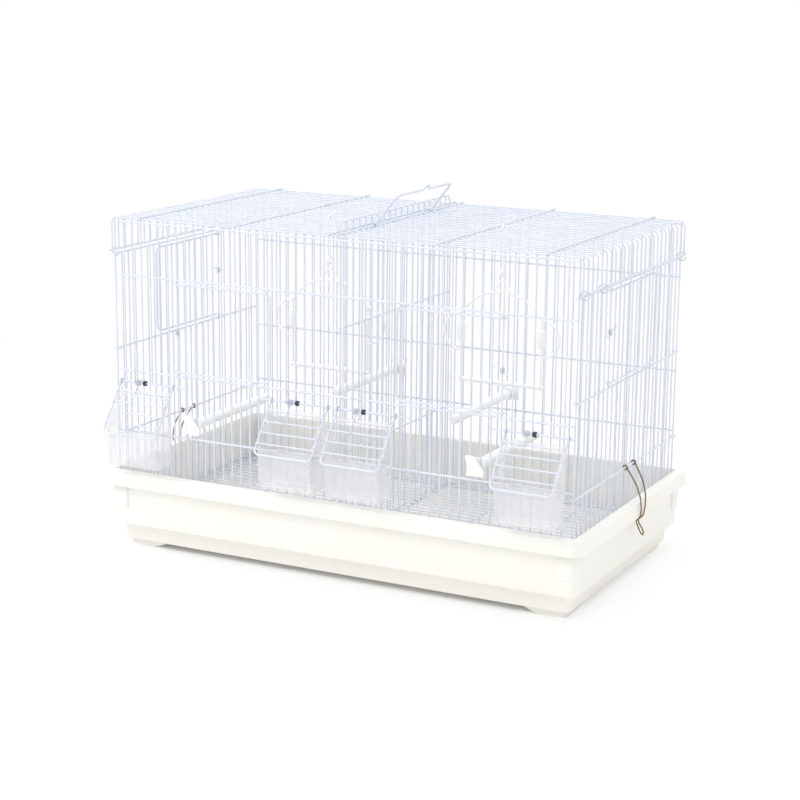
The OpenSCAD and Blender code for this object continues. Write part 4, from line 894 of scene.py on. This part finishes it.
for side_name, swing_x, swing_y in SWINGS:
    hang = Vector((swing_x, swing_y, ROOF_Z))
    body = "swing_" + side_name

    hook = bmesh.new()
    ring_of_wire(hook, (0, 0, 0), (1, 0, 0), ROOF_RING, LINK_GAUGE, 12)
    ring_of_wire(hook, (0, 0, HOOK_LINK_Z), (1, 0, 0), LINK, LINK_GAUGE, 12)
    wire(hook, [(0, 0, z) for z in HOOK_STEM], 2.3, 4.0, 14)
    trim_ends(hook)
    move(hook, Matrix.Translation(hang))
    fit_plastic(hook, "swing_hook_%s_moulding" % side_name, body, "swing_hook_" + side_name)

    swing = bmesh.new()
    arch_centre = Vector((0, 0, ARCH_Z))
    half_sweep = math.asin(SWING_HALF / ARCH_R)
    foot = arch_centre + Vector((-math.sin(half_sweep), 0, math.cos(half_sweep))) * ARCH_R
    along = Vector((math.cos(half_sweep), 0, math.sin(half_sweep)))
    ring = start_wire(swing, foot, along, FRAME_GAUGE, 14)
    ring = bend_wire(swing, ring, arch_centre, (0, 1, 0), 2 * half_sweep)
    end_wire(swing, ring)
    for end in (-1, 1):
        stem_x = end * SWING_HALF
        wire(swing, [(stem_x, 0, z) for z in SIDE_STEM], FRAME_GAUGE, 4.0, 14)
        ring = start_wire(swing, (stem_x, 0, LOOP_TOP), (end, 0, 0), 2.9, 14)
        ring = bend_wire(swing, ring, (stem_x, 0, LOOP_MIDDLE), (0, end, 0), math.pi)
        end_wire(swing, ring)
        wire(swing, [(end * x, 0, z) for x, z in STRUT], 2.4, 4.0, 12)
    ring_of_wire(swing, (0, 0, FRAME_LINK_Z), (0, 1, 0), LINK, LINK_GAUGE, 12)
    trim_ends(swing)
    move(swing, Matrix.Translation(hang))
    fit_plastic(swing, "swing_frame_%s_moulding" % side_name, body, "swing_frame_" + side_name)

    bar = bmesh.new()
    turned_piece(bar, SWING_BAR, hang + Vector((-SWING_BAR_HALF, 0, SWING_BAR_Z)), (1, 0, 0))
    fit_plastic(bar, "swing_bar_%s_rod" % side_name, body, "swing_bar_" + side_name)

    beads = bmesh.new()
    for end in (-1, 1):
        turned_piece(beads, BEAD, hang + Vector((end * SWING_HALF, 0, BEAD_Z)), (0, 0, 1))
    fit_plastic(beads, "swing_beads_%s_mouldings" % side_name, body, "swing_beads_" + side_name)

# ---- tray hooks ------------------------------------------------------------
# At each end a doubled spring wire hangs by two eyes on the hook rail, bows
# out over the tray's rim, catches under it, and ends in a small loop for the
# finger that pulls it off.

# Browned brass wire: metal, with darker tarnish in patches of about 4 mm.
browned_brass, tree, shader, place = start_material("browned_brass")
tarnish = add_node(tree, "TexNoise", {"Vector": place, "Scale": 1000 / 4, "Detail": 3.0})
brass = add_node(tree, "Mix", {0: tarnish, 6: "#6E5A43", 7: "#A08A68"}, data_type="RGBA")
set_inputs(tree, shader, {"Base Color": brass.outputs[2], "Metallic": 1.0, "Roughness": 0.33})

HOOK_WIRE, HOOK_FORMER, HOOK_EYE = 1.6, 20.0, 2.4
# one leg: out from its eye, over the rim in a bow, in to the catch, and out
# again to its half of the finger loop
HOOK_LEG = ((2.4, SIDE_BAY, 0.6), (2.5, 12.8, -1.6), (6.6, 11.8, -8.0), (13.4, 10.2, -20.0),
            (17.6, 8.2, -34.0), (18.4, 6.4, -47.0), (17.0, 4.6, -58.5), (11.2, 3.2, -62.6),
            (13.2, 2.8, -67.5), (16.4, 4.6, -73.0), (18.6, 3.4, -77.4), (19.2, 0, -79.0))

for end_name in ("left", "right"):
    hook = bmesh.new()
    for leg in (-1, 1):
        ring_of_wire(hook, (0, leg * SIDE_BAY, 0), (0, 1, 0), HOOK_EYE, 1.8, 10)
        wire(hook, [(x, leg * y, z) for x, y, z in HOOK_LEG], HOOK_WIRE, HOOK_FORMER, 12)
    trim_ends(hook)
    move(hook, Matrix.Translation((SIDE_X + WELDED, FRONT_Y + 12.5 * SIDE_BAY, HOOK_RAIL_Z)))
    if end_name == "left":
        turn_to_left(hook)
    fit_piece(hook, "tray_hook_%s_wire" % end_name, "tray_hook_" + end_name, browned_brass,
              "tray_hook_" + end_name)

# ---- camera, floor and light -----------------------------------------------
# A photographer's white table, in metres: a soft round lamp above on the left
# and a weaker one overhead, an even white surround, and a camera with a longish
# lens a little above the roof.

SENSOR, FRAME_PIXELS, FOCAL_PIXELS = 36.0, 800, 1951.03
azimuth, elevation, roll = math.radians(27.004), math.radians(13.261), math.radians(0.58)
forward = Vector((-math.sin(azimuth) * math.cos(elevation),
                  math.cos(azimuth) * math.cos(elevation), -math.sin(elevation)))
across = Vector((math.cos(azimuth), math.sin(azimuth), 0))
above = across.cross(forward)
right = math.cos(roll) * across + math.sin(roll) * above
up = -math.sin(roll) * across + math.cos(roll) * above
camera_data = bpy.data.cameras.new("camera")
camera_data.sensor_width = SENSOR
camera_data.lens = SENSOR * FOCAL_PIXELS / FRAME_PIXELS
camera_data.clip_end = 100.0
camera = bpy.data.objects.new("camera", camera_data)
camera.matrix_world = Matrix((
    (right.x, up.x, -forward.x, 1.01938),
    (right.y, up.y, -forward.y, -1.98017),
    (right.z, up.z, -forward.z, 0.70504),
    (0, 0, 0, 1)))
bpy.context.scene.collection.objects.link(camera)
bpy.context.scene.camera = camera

# Matt white laminate: from 1.4 m out it is the white of the backdrop, nearer the
# cage it keeps up to a quarter of the shadow that falls on it, and under the
# tray, between the feet, most of it.
white_table, tree, shader, place = start_material("white_table")
set_inputs(tree, shader, {"Base Color": "#FCFCFC", "Roughness": 0.9, "Specular IOR Level": 0.1})
rays = add_node(tree, "LightPath")
seen = add_node(tree, "Math",
                {0: rays.outputs["Is Camera Ray"], 1: rays.outputs["Is Glossy Ray"]},
                operation="MAXIMUM")
seen_or_through = add_node(tree, "Math",
                           {0: seen, 1: rays.outputs["Is Transmission Ray"]}, operation="MAXIMUM")
distance = add_node(tree, "VectorMath", {0: place}, operation="LENGTH")
evenness = add_node(tree, "MapRange",
                    {"Value": distance.outputs["Value"], "From Min": 0.4, "From Max": 1.4,
                     "To Min": 0.74, "To Max": 1.0})
over_tray = add_node(tree, "VectorMath",
                     {0: place, 1: (1 / 0.285, 1 / 0.15, 0)}, operation="MULTIPLY")
to_edge = add_node(tree, "VectorMath", {0: over_tray.outputs["Vector"]}, operation="ABSOLUTE")
to_sides = add_node(tree, "SeparateXYZ", {0: to_edge.outputs["Vector"]})
to_rim = add_node(tree, "Math",
                  {0: to_sides.outputs["X"], 1: to_sides.outputs["Y"]}, operation="MAXIMUM")
beneath = add_node(tree, "MapRange",
                   {"Value": to_rim, "From Min": 0.9, "From Max": 1.02,
                    "To Min": 0.1, "To Max": 1.0})
evened = add_node(tree, "Math", {0: evenness, 1: beneath}, operation="MULTIPLY")
share = add_node(tree, "Math", {0: seen_or_through, 1: evened}, operation="MULTIPLY")
glow = add_node(tree, "Emission", {"Color": (1, 1, 1, 1), "Strength": 1.0})
blend = add_node(tree, "MixShader", {0: share, 1: shader, 2: glow})
set_inputs(tree, tree.nodes["Material Output"], {"Surface": blend})
table = bmesh.new()
bmesh.ops.create_circle(table, cap_ends=True, radius=45.0, segments=96)
table_mesh = bpy.data.meshes.new("table")
table.to_mesh(table_mesh)
table.free()
table_mesh.materials.append(white_table)
table_top = bpy.data.objects.new("table", table_mesh)
bpy.context.scene.collection.objects.link(table_top)

world = bpy.data.worlds.new("surround")
bpy.context.scene.world = world
world.use_nodes = True
tree = world.node_tree
rays = add_node(tree, "LightPath")
seen = add_node(tree, "Math",
                {0: rays.outputs["Is Camera Ray"], 1: rays.outputs["Is Transmission Ray"]},
                operation="MAXIMUM")
strength = add_node(tree, "MapRange", {"Value": seen, "To Min": 0.84, "To Max": 1.0})
set_inputs(tree, tree.nodes["Background"], {"Color": (1, 1, 1, 1), "Strength": strength})

# (name, place, width in metres, watts)
for lamp_name, spot, size, power in (("key_lamp", (-1.6, -1.9, 2.6), 1.8, 33.0),
                                     ("top_lamp", (0.2, 0.4, 2.4), 1.6, 18.0)):
    lamp_data = bpy.data.lights.new(lamp_name, "AREA")
    lamp_data.shape = "DISK"
    lamp_data.size = size
    lamp_data.energy = power
    lamp = bpy.data.objects.new(lamp_name, lamp_data)
    lamp.location = spot
    aim = Vector((0, 0, 0.2)) - Vector(spot)
    lamp.rotation_euler = aim.to_track_quat("-Z", "Y").to_euler()
    bpy.context.scene.collection.objects.link(lamp)

bpy.context.scene.view_settings.view_transform = "Standard"
